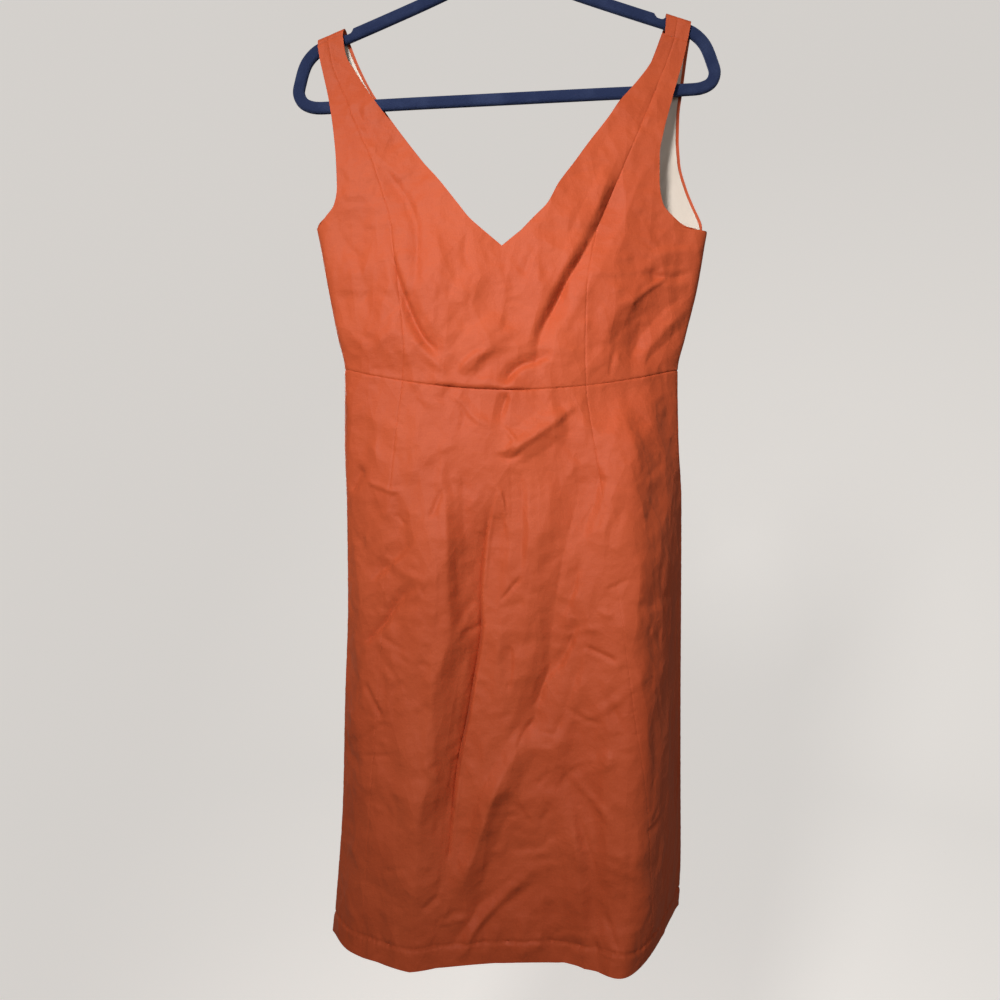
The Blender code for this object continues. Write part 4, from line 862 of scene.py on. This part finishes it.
def nearest(line, x, z):
    """How far each place is from a line, on which side, how far along, and how the line runs there."""
    start = line[:-1]
    run = line[1:] - start
    size = (run * run).sum(1)
    away_x = x[:, None] - start[:, 0]
    away_z = z[:, None] - start[:, 1]
    share = np.clip((away_x * run[:, 0] + away_z * run[:, 1]) / size, 0, 1)
    away_x = away_x - run[:, 0] * share
    away_z = away_z - run[:, 1] * share
    distance = np.hypot(away_x, away_z)
    best = np.argmin(distance, axis=1)
    at = np.arange(len(x))
    sideways = run[best, 0] * away_z[at, best] - run[best, 1] * away_x[at, best]
    length = np.concatenate([[0], np.cumsum(np.sqrt(size))])
    along = (length[best] + share[at, best] * np.sqrt(size)[best]) / length[-1]
    return distance[at, best], sideways, along, run[best]


def ends(along, taper):
    return smoothstep(along / taper) * smoothstep((1 - along) / taper)


def fold_push(side, x, z):
    """How far the largest folds together push the cloth in."""
    depth = np.zeros(len(x))
    for fold, line in FOLD_LINES[side]:
        distance, sideways, along, run = nearest(line, x, z)
        spread = np.where(sideways * np.sign(-run[:, 1]) > 0, fold.right, fold.left)
        spread = np.where(np.abs(run[:, 0]) > np.abs(run[:, 1]), (fold.left + fold.right) / 2, spread)
        depth += fold.depth * ends(along, FOLD_TAPER) * wall(distance / (FOLD_WALL * spread))
    return depth


def wall(share):
    """A flat wall's height, 1 at the crease and 0 at its foot, where it eases out."""
    left = np.clip(1 - share, 0, None)
    eased = np.where(left < CREASE_FOOT, left ** 2 / (2 * CREASE_FOOT), left - CREASE_FOOT / 2)
    return eased / (1 - CREASE_FOOT / 2)


def crease_line(crease):
    return through(np.array(crease.places) / 1000, steps=5)


def crease_push(creases, x, z):
    """How far the creases together push the cloth in."""
    depth = np.zeros(len(x))
    for crease in creases:
        line = crease_line(crease)
        wide = max(crease.left, crease.right) / 1000
        low = line.min(0) - wide
        high = line.max(0) + wide
        near = np.flatnonzero((x > low[0]) & (x < high[0]) & (z > low[1]) & (z < high[1]))
        if len(near):
            distance, sideways, along, _ = nearest(line, x[near], z[near])
            wide = np.where(sideways < 0, crease.left, crease.right) / 1000
            depth[near] += crease.depth / 1000 * ends(along, CREASE_TAPER) * wall(distance / wide)
    return depth


def small_creases(seed):
    """Faint short creases strewn over a face, most of them slanting, as crisp cloth has."""
    dice = np.random.default_rng(seed)
    made = []
    for _ in range(SMALL_CREASES):
        middle = np.array([dice.uniform(*STREWN_X), dice.uniform(*STREWN_Z)])
        turn = dice.choice([dice.uniform(-0.4, 0.4), dice.uniform(0.5, 1.2), dice.uniform(1.9, 2.6),
                            dice.uniform(1.3, 1.8)])
        half = dice.uniform(10, 50)
        run = np.array([cos(turn), sin(turn)]) * half
        over = np.array([-sin(turn), cos(turn)]) * dice.uniform(-0.3, 0.3) * half
        depth = dice.uniform(0.30, 0.95) * dice.choice([1, -1])
        places = [tuple(middle - run), tuple(middle + over), tuple(middle + run)]
        made.append(Crease(places, depth, dice.uniform(4.0, 15.0), dice.uniform(4.0, 15.0)))
    return made


def swell(x, z, seed):
    """Broad low waves, most of them running down the cloth."""
    dice = np.random.default_rng(seed)
    height = np.zeros(len(x))
    for _ in range(SWELLS):
        across = 2 * pi / dice.uniform(0.045, 0.16)
        down = 2 * pi / dice.uniform(0.12, 0.45) * dice.choice([-1, 1])
        height += np.sin(across * x + down * z + dice.uniform(0, 2 * pi)) * dice.uniform(0.3, 1.0)
    return height / SWELLS ** 0.5 * SWELL_DEPTH


FOLD_LINES = {side: [(fold, through(np.reshape(fold[:6], (3, 2)), steps=10)) for fold in folds]
              for side, folds in FOLDS.items()}
SMALL = {"front": small_creases(SMALL_CREASE_SEED), "back": small_creases(SMALL_CREASE_SEED + 1)}
SEAM_GROOVE = 0.00050
SEAM_GROOVE_WIDTH = 0.0008
PUCKER = 0.00016            # of the cloth beside a seam
PUCKER_WIDTH = 0.0060
# at which levels the pressed seams show, and how strongly
SEAM_LEVELS = (-1.090, -0.980, -0.740, -0.715, -0.640, -0.615)
SEAM_SHOWS = (0.30, 0.60, 0.60, 0.15, 0.15, 1.00)
LEVEL_SEAM_SHOWS = 1.4      # the waist's and the strap's seams
# the bodice blouses over the waist seam, most of all left of the middle of the front
BLOUSE_FROM = -0.0760
BLOUSE_TO = 0.0420
BLOUSE_EASE = 0.0300
BLOUSE_HEIGHT = 0.0044
BLOUSE_DEPTHS = {"front": 0.0024, "back": 0.0}
BLOUSE_LEAST = 0.10         # of its depth, beside that place
RIPPLE_LENGTHS = (0.0052, 0.0071, 0.0097, 0.0143, 0.0231)
SEAM_SEEDS = {"start": 5, "end": 3, "bottom": 6, "top": 3}


def ripple(along, seed):
    """Uneven small waves along a seam, about 1 high."""
    dice = np.random.default_rng(seed)
    wave = np.zeros(along.shape)
    for length in RIPPLE_LENGTHS:
        wave += np.sin(2 * pi * along / length + dice.uniform(0, 2 * pi)) * dice.uniform(0.4, 1.0)
    return wave / 2


def dressed(rows, creases, seams, blouse=0.0, hem=0.0):
    """The grid of a panel with its folds, creases, seam grooves and puckers; seams name the sewn edges."""
    grid = np.array([row[0] for row in rows])
    x, y, z, out_x, out_y, front, calm, distance = np.moveaxis(grid, 2, 0)
    push = np.zeros(x.shape)
    for side, chosen in (("front", front > 0.5), ("back", front <= 0.5)):
        if chosen.any():
            place = x[chosen], z[chosen]
            push[chosen] += fold_push(side, *place) * smoothstep(calm[chosen] * FOLD_CALM)
            fine = crease_push(creases[side] + SMALL[side], *place) + swell(*place, SWELL_SEEDS[side])
            push[chosen] += fine * calm[chosen]
    rise = run_length(grid[:, x.shape[1] // 2, :3])[:, None]
    from_bottom = np.zeros(x.shape) + rise
    distances = {
        "start": np.array([row[1] for row in rows]),
        "end": np.array([row[2] for row in rows]),
        "bottom": from_bottom,
        "top": rise[-1] - from_bottom,
    }
    for seam in seams:
        near = distances[seam]
        upright = seam in ("start", "end")
        along = z if upright else x
        shows = np.interp(z, SEAM_LEVELS, SEAM_SHOWS) if upright else LEVEL_SEAM_SHOWS
        push += SEAM_GROOVE * shows * np.exp(-(near / SEAM_GROOVE_WIDTH) ** 2)
        push += PUCKER * ripple(along, SEAM_SEEDS[seam]) * np.exp(-near / PUCKER_WIDTH)
    if blouse:
        most = smoothstep((x - BLOUSE_FROM) / BLOUSE_EASE) * smoothstep((BLOUSE_TO - x) / BLOUSE_EASE)
        strength = (BLOUSE_LEAST + (1 - BLOUSE_LEAST) * most) * blouse * front * smoothstep(calm)
        rounds = from_bottom / BLOUSE_HEIGHT
        push -= strength * rounds * np.exp(1 - rounds)
    if hem:
        off = from_bottom - HEM_STITCH
        pulled = 1 + HEM_PUCKER * ripple(x, HEM_GROOVE_SEED)
        push += hem * pulled * np.exp(-(off / HEM_GROOVE_WIDTH) ** 2)
        push += hem * HEM_PUCKER * ripple(x, HEM_PUCKER_SEED) * np.exp(-(off / HEM_PUCKER_WIDTH) ** 2)
        push -= hem * HEM_TURN_UP * smoothstep(-off / HEM_EASE)
    return np.stack([x - out_x * push, y - out_y * push, z], axis=2), distance


WELD = 0.000002             # points nearer than this are one
SHARP_FROM = radians(62)


def cloth_piece(name, grids, materials, thickness=CLOTH, offset=0.0):
    """One closed shell round a mid-surface made of grids that share points: (points, along, facing)."""
    points = np.vstack([grid.reshape(-1, 3) for grid, _, _ in grids])
    uv = np.vstack([np.stack([along.ravel(), grid[:, :, 2].ravel()], axis=1) for grid, along, _ in grids])
    places = np.round(points / WELD).astype(np.int64)
    _, first, index = np.unique(places, axis=0, return_index=True, return_inverse=True)
    index = index.ravel()
    points = points[first]
    uv = uv[first]
    quads = []
    base = 0
    for grid, _, facing in grids:
        count, wide = grid.shape[:2]
        corner = index[base + np.arange(count * wide)].reshape(count, wide)
        quad = np.stack([corner[:-1, :-1], corner[:-1, 1:], corner[1:, 1:], corner[1:, :-1]], axis=2)
        quad = quad.reshape(-1, 4)
        quads.append(quad if facing > 0 else quad[:, ::-1])
        base += count * wide
    quads = np.vstack(quads)
    normals = np.zeros_like(points)
    normal = np.cross(points[quads[:, 2]] - points[quads[:, 0]], points[quads[:, 3]] - points[quads[:, 1]])
    for k in range(4):
        np.add.at(normals, quads[:, k], normal)
    normals /= np.linalg.norm(normals, axis=1)[:, None]
    middle = points + normals * offset
    number = len(points)
    edges = np.vstack([quads[:, [k, (k + 1) % 4]] for k in range(4)])
    keys = np.sort(edges, axis=1)
    _, inverse, counts = np.unique(keys, axis=0, return_inverse=True, return_counts=True)
    border = edges[counts[inverse.ravel()] == 1]
    rim = np.stack([border[:, 1], border[:, 0], border[:, 0] + number, border[:, 1] + number], axis=1)
    faces = np.vstack([quads, quads[:, ::-1] + number, rim])
    both = np.vstack([middle + normals * thickness / 2, middle - normals * thickness / 2])
    mesh = bpy.data.meshes.new(name)
    mesh.vertices.add(len(both))
    mesh.vertices.foreach_set("co", both.ravel())
    mesh.loops.add(faces.size)
    mesh.loops.foreach_set("vertex_index", faces.ravel())
    mesh.polygons.add(len(faces))
    mesh.polygons.foreach_set("loop_start", np.arange(0, faces.size, 4))
    mesh.polygons.foreach_set("use_smooth", np.ones(len(faces), bool))
    for material in materials:
        mesh.materials.append(material)
    inside = np.zeros(len(faces), np.int32)
    inside[len(quads):2 * len(quads)] = len(materials) - 1
    mesh.polygons.foreach_set("material_index", inside)
    layer = mesh.uv_layers.new(name="cloth")
    layer.data.foreach_set("uv", np.vstack([uv, uv])[faces.ravel()].ravel())
    mesh.update(calc_edges=True)
    mesh.set_sharp_from_angle(angle=SHARP_FROM)
    thing = bpy.data.objects.new(name, mesh)
    bpy.context.collection.objects.link(thing)
    return thing


def orange_finish():
    base = tone(179, 75, 39)
    bright = tone(192, 88, 50)
    deep = tone(148, 53, 26)
    cloth = Finish("orange_cloth", Sheen_Weight=0.10, Sheen_Roughness=0.4,
                   Sheen_Tint=tone(255, 190, 150), Specular_IOR_Level=0.30)
    where = cloth.make("UVMap", {"uv_map": "cloth"})
    place = cloth.place()
    slubs = cloth.noise(where, 1.0, stretch=(60, 1100, 1), detail=3.0).between(0.45, 0.75)
    warp = cloth.noise(where, 1.0, stretch=(1000, 45, 1), detail=2.0).between(0.45, 0.75)
    grain = cloth.noise(where, 1500.0, detail=1.0)
    yarns = slubs * 0.6 + warp * 0.4 + grain * 0.8
    cloud = cloth.noise(place, 9.0, detail=5.0, roughness=0.6)
    colour = cloth.blend(cloud.between(0.3, 0.7) * 0.40, base, bright)
    colour = cloth.blend(slubs * 0.25, colour, bright)
    colour = cloth.blend(grain.between(0.6, 0.3) * 0.18, colour, deep)
    ridged = {"noise_type": "RIDGED_MULTIFRACTAL", "normalize": True}
    broad, tight = [cloth.make("TexNoise", ridged, {"Vector": place, "Scale": scale})
                    for scale in (20.0, 62.0)]
    crumple = cloth.noise(place, 140.0, detail=3.0, roughness=0.6)
    slanted = cloth.make("Mapping", None, {"Vector": place, "Rotation": (0, 0.5, 0), "Scale": (1, 1, 0.6)})
    facets = cloth.make("TexVoronoi", None,
                        {"Vector": slanted, "Scale": 19.0, "Detail": 1.0, "Roughness": 0.45})
    rumpled = cloth.bump(facets * 1.1 + broad + tight * 0.35 + crumple * 0.13, 0.0060, 0.85)
    cloth.set(Base_Color=colour, Roughness=cloud * 0.12 + 0.60,
              Normal=cloth.bump(yarns, 0.00014, 0.4, under=rumpled))
    return cloth.material


def lining_finish():
    lining = Finish("cream_lining", Sheen_Weight=0.15, Sheen_Roughness=0.4, Specular_IOR_Level=0.5)
    where = lining.make("UVMap", {"uv_map": "cloth"})
    place = lining.place()
    yarns = lining.noise(where, 1.0, stretch=(1300, 60, 1), detail=2.0)
    crumple = lining.noise(place, 70.0, detail=3.0)
    cloud = lining.noise(place, 14.0, detail=3.0)
    lining.set(Base_Color=lining.blend(cloud, tone(198, 188, 178), tone(216, 206, 196)),
               Roughness=cloud * 0.12 + 0.36,
               Normal=lining.bump(yarns, 0.00006, 0.4, under=lining.bump(crumple, 0.0012, 0.5)))
    return lining.material


ORANGE = orange_finish()
LINING_CLOTH = lining_finish()
# the outside, and the inside where it has a cloth of its own
CLOTHS = {"front": [ORANGE, LINING_CLOTH], "back": [ORANGE]}


def facing_of(face, side):
    return 1 if (face == "front") == (side == "left") else -1


def bodice_grid(face, side, part, sewn):
    """The grid of a panel, or of half of the middle one; sewn names its edge along the princess seam."""
    rows = bodice_rows(face, side, part)
    points, along = dressed(rows, BODICE_CREASES, (sewn, "bottom", "top"), BLOUSE_DEPTHS[face])
    return points, along, facing_of(face, side)


def middle_panel(face):
    grids = [bodice_grid(face, side, "middle", "start") for side in ("left", "right")]
    return cloth_piece(f"bodice_{face}_cloth", grids, CLOTHS[face])


def declare_cloth(piece, node):
    declare(piece, node)


declare_cloth(middle_panel("front"), "bodice_front")

# ---------------------------------------------------------------- the side fronts
# Two panels from the princess seams to the side seams and the armholes, with the outer halves of the straps.
# Each strap is sewn to the back's strap on the front of the hanger's arm.


def side_panels(face):
    for side, area in (("left", 0.0200), ("right", 0.0260)):
        node = f"bodice_side_{face}_{side}"
        piece = cloth_piece(f"{node}_cloth", [bodice_grid(face, side, "side", "end")], CLOTHS[face])
        declare_cloth(piece, node)


side_panels("front")

# ---------------------------------------------------------------- the back of the bodice
# The centre back is forked by its own V neck, and the two side backs are sewn to it.  Their straps run up
# over the hanger's arms and down to the seams on the front.
declare_cloth(middle_panel("back"), "bodice_back")
side_panels("back")

# ---------------------------------------------------------------- the skirt
# Six gores that flare to the hem, sewn to each other and to the bodice's waist.  The hem is turned up and
# blind-stitched about 20 mm above its edge, where the cloth puckers a little.
GUIDE_COLUMN = 0.36         # the column of the front that follows the long valley, as a share of them all
HEM_STITCH = 0.0200         # above the hem's edge
HEM_GROOVE = 0.0009
HEM_GROOVE_WIDTH = 0.0018
HEM_GROOVE_SEED = 3
HEM_PUCKER = 0.8            # as a share of the groove
HEM_PUCKER_WIDTH = 0.0060
HEM_PUCKER_SEED = 4
HEM_TURN_UP = 0.6           # how far the doubled hem stands out, as a share of the groove
HEM_EASE = 0.0020
SKIRT_FRONT_CREASES = [Crease(*row) for row in (
    ([(3, -616), (-6, -652), (-12, -682), (-16, -729), (-16, -773), (-23, -819), (-30, -861), (-37, -894),
      (-42, -936), (-45, -970), (-49, -1039)], 7.2, 38, 3.0),
    ([(-16, -729), (-16, -773), (-23, -819), (-30, -861), (-37, -894), (-42, -936),
      (-45, -970)], 2.4, 9, 3.0),
    ([(-46, -579), (-51, -603), (-54, -618), (-50, -640), (-48, -679), (-47, -729),
      (-46, -772)], -2.8, 9, 9),
    ([(-34, -610), (-32, -645), (-34, -684)], 2.1, 8, 10),
    ([(-46, -719), (-46, -772), (-53, -797), (-60, -817), (-61, -880), (-57, -935)], -4.4, 14, 20),
    ([(-58, -860), (-69, -922), (-75, -953), (-76, -989), (-80, -1026), (-83, -1240)], -6.4, 36, 25),
    ([(-49, -534), (-36, -542), (-24, -557), (-12, -565), (2, -567)], -2.0, 5, 9),
    ([(12, -531), (6, -549), (2, -567)], 2.8, 9, 6),
    ([(-7, -576), (-25, -575)], 0.9, 4, 4),
    ([(3, -566), (12, -574), (17, -582), (11, -590), (-2, -595)], -1.5, 4, 4),
    ([(88, -540), (74, -549), (60, -561), (44, -573), (25, -585), (9, -599)], -2.1, 9, 6),
    ([(27, -592), (15, -599), (8, -599), (-4, -594)], 2.0, 5, 5),
    ([(-52, -627), (-58, -642), (-66, -660)], 1.7, 4, 6),
    ([(-135, -604), (-142, -618), (-149, -633)], 2.4, 7, 8),
    ([(-91, -629), (-104, -631), (-112, -628), (-123, -624), (-134, -618)], -1.7, 4, 4),
    ([(-89, -666), (-102, -653)], 1.2, 4, 4),
    ([(-77, -717), (-68, -737)], 1.0, 5, 5),
    ([(-84, -790), (-117, -774)], 1.2, 4, 4),
    ([(-62, -803), (-77, -798)], 0.9, 5, 5),
    ([(-18, -735), (-31, -748), (-42, -774)], 1.5, 7, 6),
    ([(-9, -757), (-22, -767), (-34, -771)], 1.5, 5, 5),
    ([(23, -606), (25, -640), (25, -679), (23, -719)], 2.7, 13, 6),
    ([(26, -713), (11, -730), (2, -742)], 2.1, 4, 4),
    ([(12, -770), (14, -808), (9, -835)], 2.0, 11, 4),
    ([(102, -596), (99, -620), (94, -644), (87, -661), (80, -684)], 2.8, 17, 8),
    ([(81, -694), (77, -718), (72, -735), (62, -754)], 2.7, 11, 6),
    ([(79, -754), (71, -778), (61, -798), (50, -811), (44, -822), (40, -834), (27, -849)], 3.2, 9, 6),
    ([(84, -788), (73, -821), (68, -838), (59, -861), (51, -881)], 2.7, 12, 8),
    ([(39, -851), (25, -868), (19, -886)], 2.2, 4, 6),
    ([(51, -861), (49, -881)], 1.5, 15, 8),
    ([(117, -796), (106, -790), (82, -780)], 2.1, 4, 4),
    ([(114, -751), (95, -746)], -1.2, 5, 5),
    ([(132, -714), (102, -728)], 1.2, 4, 4),
    ([(68, -914), (74, -953), (80, -984), (82, -1014), (85, -1050), (89, -1200)], -4.2, 20, 10),
    ([(74, -936), (86, -965), (93, -985), (98, -1005)], 1.8, 8, 5),
    ([(63, -895), (86, -919), (103, -934), (121, -969)], -1.2, 6, 6),
    ([(19, -934), (34, -954)], 1.2, 5, 5),
    ([(53, -901), (37, -917)], 1.4, 5, 5),
    ([(51, -937), (44, -952)], 1.4, 5, 5),
    ([(68, -960), (50, -967), (43, -975), (25, -977), (4, -978)], 1.3, 9, 6),
    ([(68, -985), (38, -987), (23, -994)], 1.0, 8, 6),
    ([(40, -994), (15, -1014), (1, -1028), (-13, -1043), (-26, -1062), (-35, -1088)], -3.2, 8, 7),
    ([(3, -1015), (-18, -1033), (-23, -1045), (-36, -1060), (-50, -1075)], 2.0, 10, 7),
    ([(41, -1005), (20, -1024), (4, -1035)], 1.2, 5, 7),
    ([(-54, -1019), (-64, -1027), (-73, -1034)], 1.5, 5, 7),
    ([(-28, -1037), (-49, -1038)], 0.9, 5, 5),
    ([(-25, -1041), (-44, -1046), (-60, -1047)], -0.9, 5, 5),
    ([(31, -1032), (27, -1054), (25, -1084)], -1.7, 9, 9),
    ([(-13, -1043), (-11, -1060), (-10, -1078)], 1.4, 6, 4),
    ([(87, -1045), (93, -1060), (102, -1074)], 1.0, 5, 5),
    ([(102, -1027), (108, -1046), (114, -1064)], 1.7, 5, 5),
    ([(-136, -818), (-124, -839), (-111, -860)], 2.1, 5, 5),
    ([(-101, -814), (-102, -859)], 1.0, 6, 7),
    ([(-74, -895), (-65, -901), (-54, -916)], -1.5, 5, 7),
    ([(-82, -993), (-112, -1003)], 0.9, 5, 5),
    ([(-99, -889), (-119, -893), (-137, -896)], 1.0, 4, 5),
    ([(-103, -859), (-121, -867), (-133, -881)], 0.9, 5, 4),
    ([(172, -601), (157, -611), (143, -625)], 1.1, 7, 6),
    ([(179, -691), (167, -711), (163, -745), (162, -774), (158, -802)], -1.6, 10, 12),
    ([(160, -951), (149, -955), (140, -955)], 1.5, 5, 7),
    ([(165, -969), (161, -987), (157, -1009)], -1.8, 5, 5),
    ([(122, -527), (128, -561), (137, -596), (141, -625)], -2.2, 12, 12),
    ([(110, -827), (116, -857), (118, -886)], 1.2, 8, 8),
    ([(106, -855), (82, -849), (62, -837)], 1.0, 5, 5),
    ([(-97, -581), (-99, -640), (-97, -699)], 1.4, 11, 12),
    ([(49, -608), (52, -650), (48, -687)], -1.2, 12, 12),
    ([(-120, -690), (-88, -712), (-62, -722)], -1.4, 9, 6),
    ([(126, -640), (112, -668), (104, -704)], 1.5, 7, 10),
    ([(39, -739), (44, -778), (41, -814)], -1.0, 10, 9),
    ([(-9, -802), (-5, -837), (-11, -879)], 1.0, 9, 9),
    ([(106, -867), (102, -916), (108, -985)], -1.4, 13, 12),
    ([(48, -1019), (54, -1049), (52, -1086)], 1.0, 10, 9),
    ([(-111, -916), (-107, -965), (-111, -1025)], -1.2, 14, 13),
    ([(149, -837), (154, -886), (151, -936)], 1.4, 9, 9),
    ([(169, -827), (172, -896), (169, -975)], -1.4, 9, 8),
    ([(37, -853), (26, -871), (14, -893), (1, -914), (-9, -939), (-18, -967), (-28, -994),
      (-42, -1039)], -6.2, 12, 20),
    ([(-75, -716), (-95, -737), (-112, -760), (-129, -778), (-149, -796)], 3.4, 9, 7),
    ([(-78, -672), (-90, -687), (-107, -703), (-129, -721)], 2.7, 14, 7),
    ([(-97, -737), (-112, -760), (-129, -778), (-143, -791)], 1.8, 5, 5),
)]
SKIRT_BACK_CREASES = [Crease(*row) for row in (
    ([(-58, -560), (-64, -690), (-70, -820), (-84, -1000)], 3.0, 26, 8),
    ([(62, -590), (70, -760), (76, -900), (86, -1060)], 3.2, 8, 28),
    ([(-20, -620), (-12, -740), (-14, -860)], -1.8, 18, 12),
    ([(-120, -640), (-104, -690), (-96, -740)], 1.6, 12, 8),
    ([(30, -640), (48, -700), (54, -760)], 1.5, 10, 9),
    ([(130, -620), (118, -690), (122, -760)], 1.7, 10, 12),
    ([(20, -820), (2, -880), (-6, -950)], 1.6, 12, 9),
    ([(-110, -860), (-94, -900), (-86, -960)], 1.4, 9, 10),
    ([(110, -880), (128, -930), (134, -1000)], -1.6, 10, 9),
    ([(-30, -980), (-6, -1010), (20, -1024)], 1.3, 7, 8),
    ([(150, -560), (128, -580), (104, -588)], 1.5, 6, 8),
    ([(-120, -560), (-96, -576), (-70, -580)], 1.4, 8, 6),
)]
SKIRT_CREASES = {"front": SKIRT_FRONT_CREASES, "back": SKIRT_BACK_CREASES}
Gore = namedtuple("Gore", "node start end width area")
GORES = [Gore(*row) for row in (
    ("skirt_side_front_left", "side_left", "front_left", 0.075, 0.034),
    ("skirt_front", "front_left", "front_right", 0.30, 0.145),
    ("skirt_side_front_right", "front_right", "side_right", 0.15, 0.072),
    ("skirt_side_back_right", "side_right", "back_right", 0.10, 0.052),
    ("skirt_back", "back_right", "back_left", 0.28, 0.140),
    ("skirt_side_back_left", "back_left", "side_end", 0.08, 0.038),
)]


def gore_piece(gore):
    step = STEPS["front" if "front" in gore.node else "back"]
    body = Body.at(HEM)
    count = int((seam_distance(body, gore.end) - seam_distance(body, gore.start)) / step)
    levels = np.linspace(HEM, WAIST, int((WAIST - HEM) / step))
    levels = np.concatenate([levels[:-2], WAIST - np.array(EDGE_OFFSETS[::-1])])
    guide = crease_line(SKIRT_FRONT_CREASES[0]) if gore.node == "skirt_front" else None
    rows = [closed_row(level, gore.start, gore.end, count, guide) for level in levels]
    points, along = dressed(rows, SKIRT_CREASES, ("start", "end", "top"), hem=HEM_GROOVE)
    return cloth_piece(f"{gore.node}_cloth", [(points, along, 1)], [ORANGE])


for gore in GORES:
    declare_cloth(gore_piece(gore), gore.node)

# ---------------------------------------------------------------- the back's lining
# A pale lining lies inside the back bodice, a little short of its edges, and shows through the neck and the
# right armhole.
LINING = 0.0010
LINING_LEVEL = -0.4300
LINING_IN = 0.0035
LINING_GAP = 0.0003
LINING_OFFSET = -(CLOTH / 2 + LINING_GAP + LINING / 2)


def back_lining():
    grids = []
    for side in ("left", "right"):
        outer, inner = [dressed(bodice_rows("back", side, part, LINING_IN), BODICE_CREASES, ())
                        for part in ("side", "middle")]
        points = np.concatenate([outer[0], inner[0][:, 1:]], axis=1)
        along = np.concatenate([outer[1], inner[1][:, 1:]], axis=1)
        kept = points[:, points.shape[1] // 2, 2] > LINING_LEVEL
        grids.append((points[kept], along[kept], facing_of("back", side)))
    return cloth_piece("back_lining_cloth", grids, [LINING_CLOTH], thickness=LINING, offset=LINING_OFFSET)


declare_cloth(back_lining(), "back_lining")

# ---------------------------------------------------------------- the side zip
# A concealed zip closes the right side seam from the underarm to the hip.  Its tapes are dyed to the cloth,
# and its slider and drop-shaped pull are enamelled in the same colour.


def enamel_finish():
    enamel = Finish("zip_enamel", Specular_IOR_Level=0.5, Coat_Weight=0.4, Coat_Roughness=0.15)
    place = enamel.place()
    worn = enamel.noise(place, 700.0, detail=3.0).between(0.62, 0.75)
    cloud = enamel.noise(place, 260.0, detail=2.0)
    enamel.set(Base_Color=enamel.blend(worn * 0.5, tone(206, 96, 62), tone(160, 74, 50)),
               Roughness=cloud * 0.15 + 0.25, Normal=enamel.bump(cloud, 0.00005, 0.3))
    return enamel.material


ENAMEL = enamel_finish()
for node, material in (("zip_tape", ORANGE), ("zip_slider", ENAMEL), ("zip_pull", ENAMEL)):
    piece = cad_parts[node]
    for slot in piece.material_slots:
        slot.material = material

# ---------------------------------------------------------------- floor, light and camera
# A pale floor that turns up into a round wall, a lamp high on the left in front, a weak one on the right,
# and a large soft one behind on the left.
FLOOR = -1.60
FLOOR_HOLE = 0.0002         # too small to be seen
ROOM_RADIUS = 3.2
ROOM_CURVE = 1.2
ROOM_CURVE_STEPS = 16
ROOM_HEIGHT = 4.6
ROOM_SIDES = 96
ROOM_PAINT = (0.80, 0.79, 0.77, 1)
CAMERA_AT = (0.0033, -0.7860, -0.6400)
CAMERA_LENS = 27.18


def room():
    flat = ROOM_RADIUS - ROOM_CURVE
    profile = [(FLOOR_HOLE, 0.0), (flat, 0.0)]
    for turn in np.linspace(0, pi / 2, ROOM_CURVE_STEPS + 1)[1:]:
        profile.append((flat + ROOM_CURVE * sin(turn), ROOM_CURVE * (1 - cos(turn))))
    profile.append((ROOM_RADIUS, ROOM_HEIGHT))
    turns = [2 * pi * k / ROOM_SIDES for k in range(ROOM_SIDES)]
    points = [(radius * cos(turn), radius * sin(turn), FLOOR + height)
              for radius, height in profile for turn in turns]
    paint = Finish("pale_room", Roughness=0.9, Specular_IOR_Level=0.1, Base_Color=ROOM_PAINT,
                   Emission_Color=ROOM_PAINT, Emission_Strength=0.68)
    faces = ring_faces(len(profile), ROOM_SIDES, closed=False)
    made = mesh_object("pale_room", points, faces, paint.material)
    made.visible_diffuse = False
    made.visible_glossy = False
    return made


def lamp(name, size, power, at, towards, colour, spread):
    light = bpy.data.lights.new(name, "AREA")
    light.shape = "DISK"
    light.spread = radians(spread)
    light.size = size
    light.energy = power
    light.color = colour
    thing = bpy.data.objects.new(name, light)
    thing.location = at
    aim = np.array(towards) - np.array(at)
    thing.rotation_euler = Vector(aim).to_track_quat("-Z", "Y").to_euler()
    bpy.context.collection.objects.link(thing)


room()
lamp("key", size=0.30, power=3.9, at=(-0.48, -1.18, 0.04), towards=(0.10, 0.0, -0.49),
     colour=(1.0, 0.97, 0.93), spread=73)
lamp("fill", size=1.2, power=2.0, at=(0.90, -1.40, -0.30), towards=(0.0, 0.0, -0.45),
     colour=(1.0, 0.98, 0.96), spread=120)
lamp("back", size=1.2, power=6.0, at=(-0.90, 1.80, -0.20), towards=(0.0, 0.0, -0.56),
     colour=(1.0, 0.97, 0.94), spread=62)
world = bpy.data.worlds.new("studio")
world.use_nodes = True
sky = world.node_tree.nodes["Background"]
sky.inputs["Color"].default_value = (1.0, 0.84, 0.72, 1)
sky.inputs["Strength"].default_value = 0.13
bpy.context.scene.world = world
bpy.context.scene.view_settings.view_transform = "Standard"

camera = bpy.data.cameras.new("camera")
camera.lens = CAMERA_LENS
camera.sensor_width = 36
camera.clip_start = 0.02
camera_at = bpy.data.objects.new("camera", camera)
camera_at.location = CAMERA_AT
camera_at.rotation_euler = (radians(90), 0, 0)
bpy.context.collection.objects.link(camera_at)
bpy.context.scene.camera = camera_at
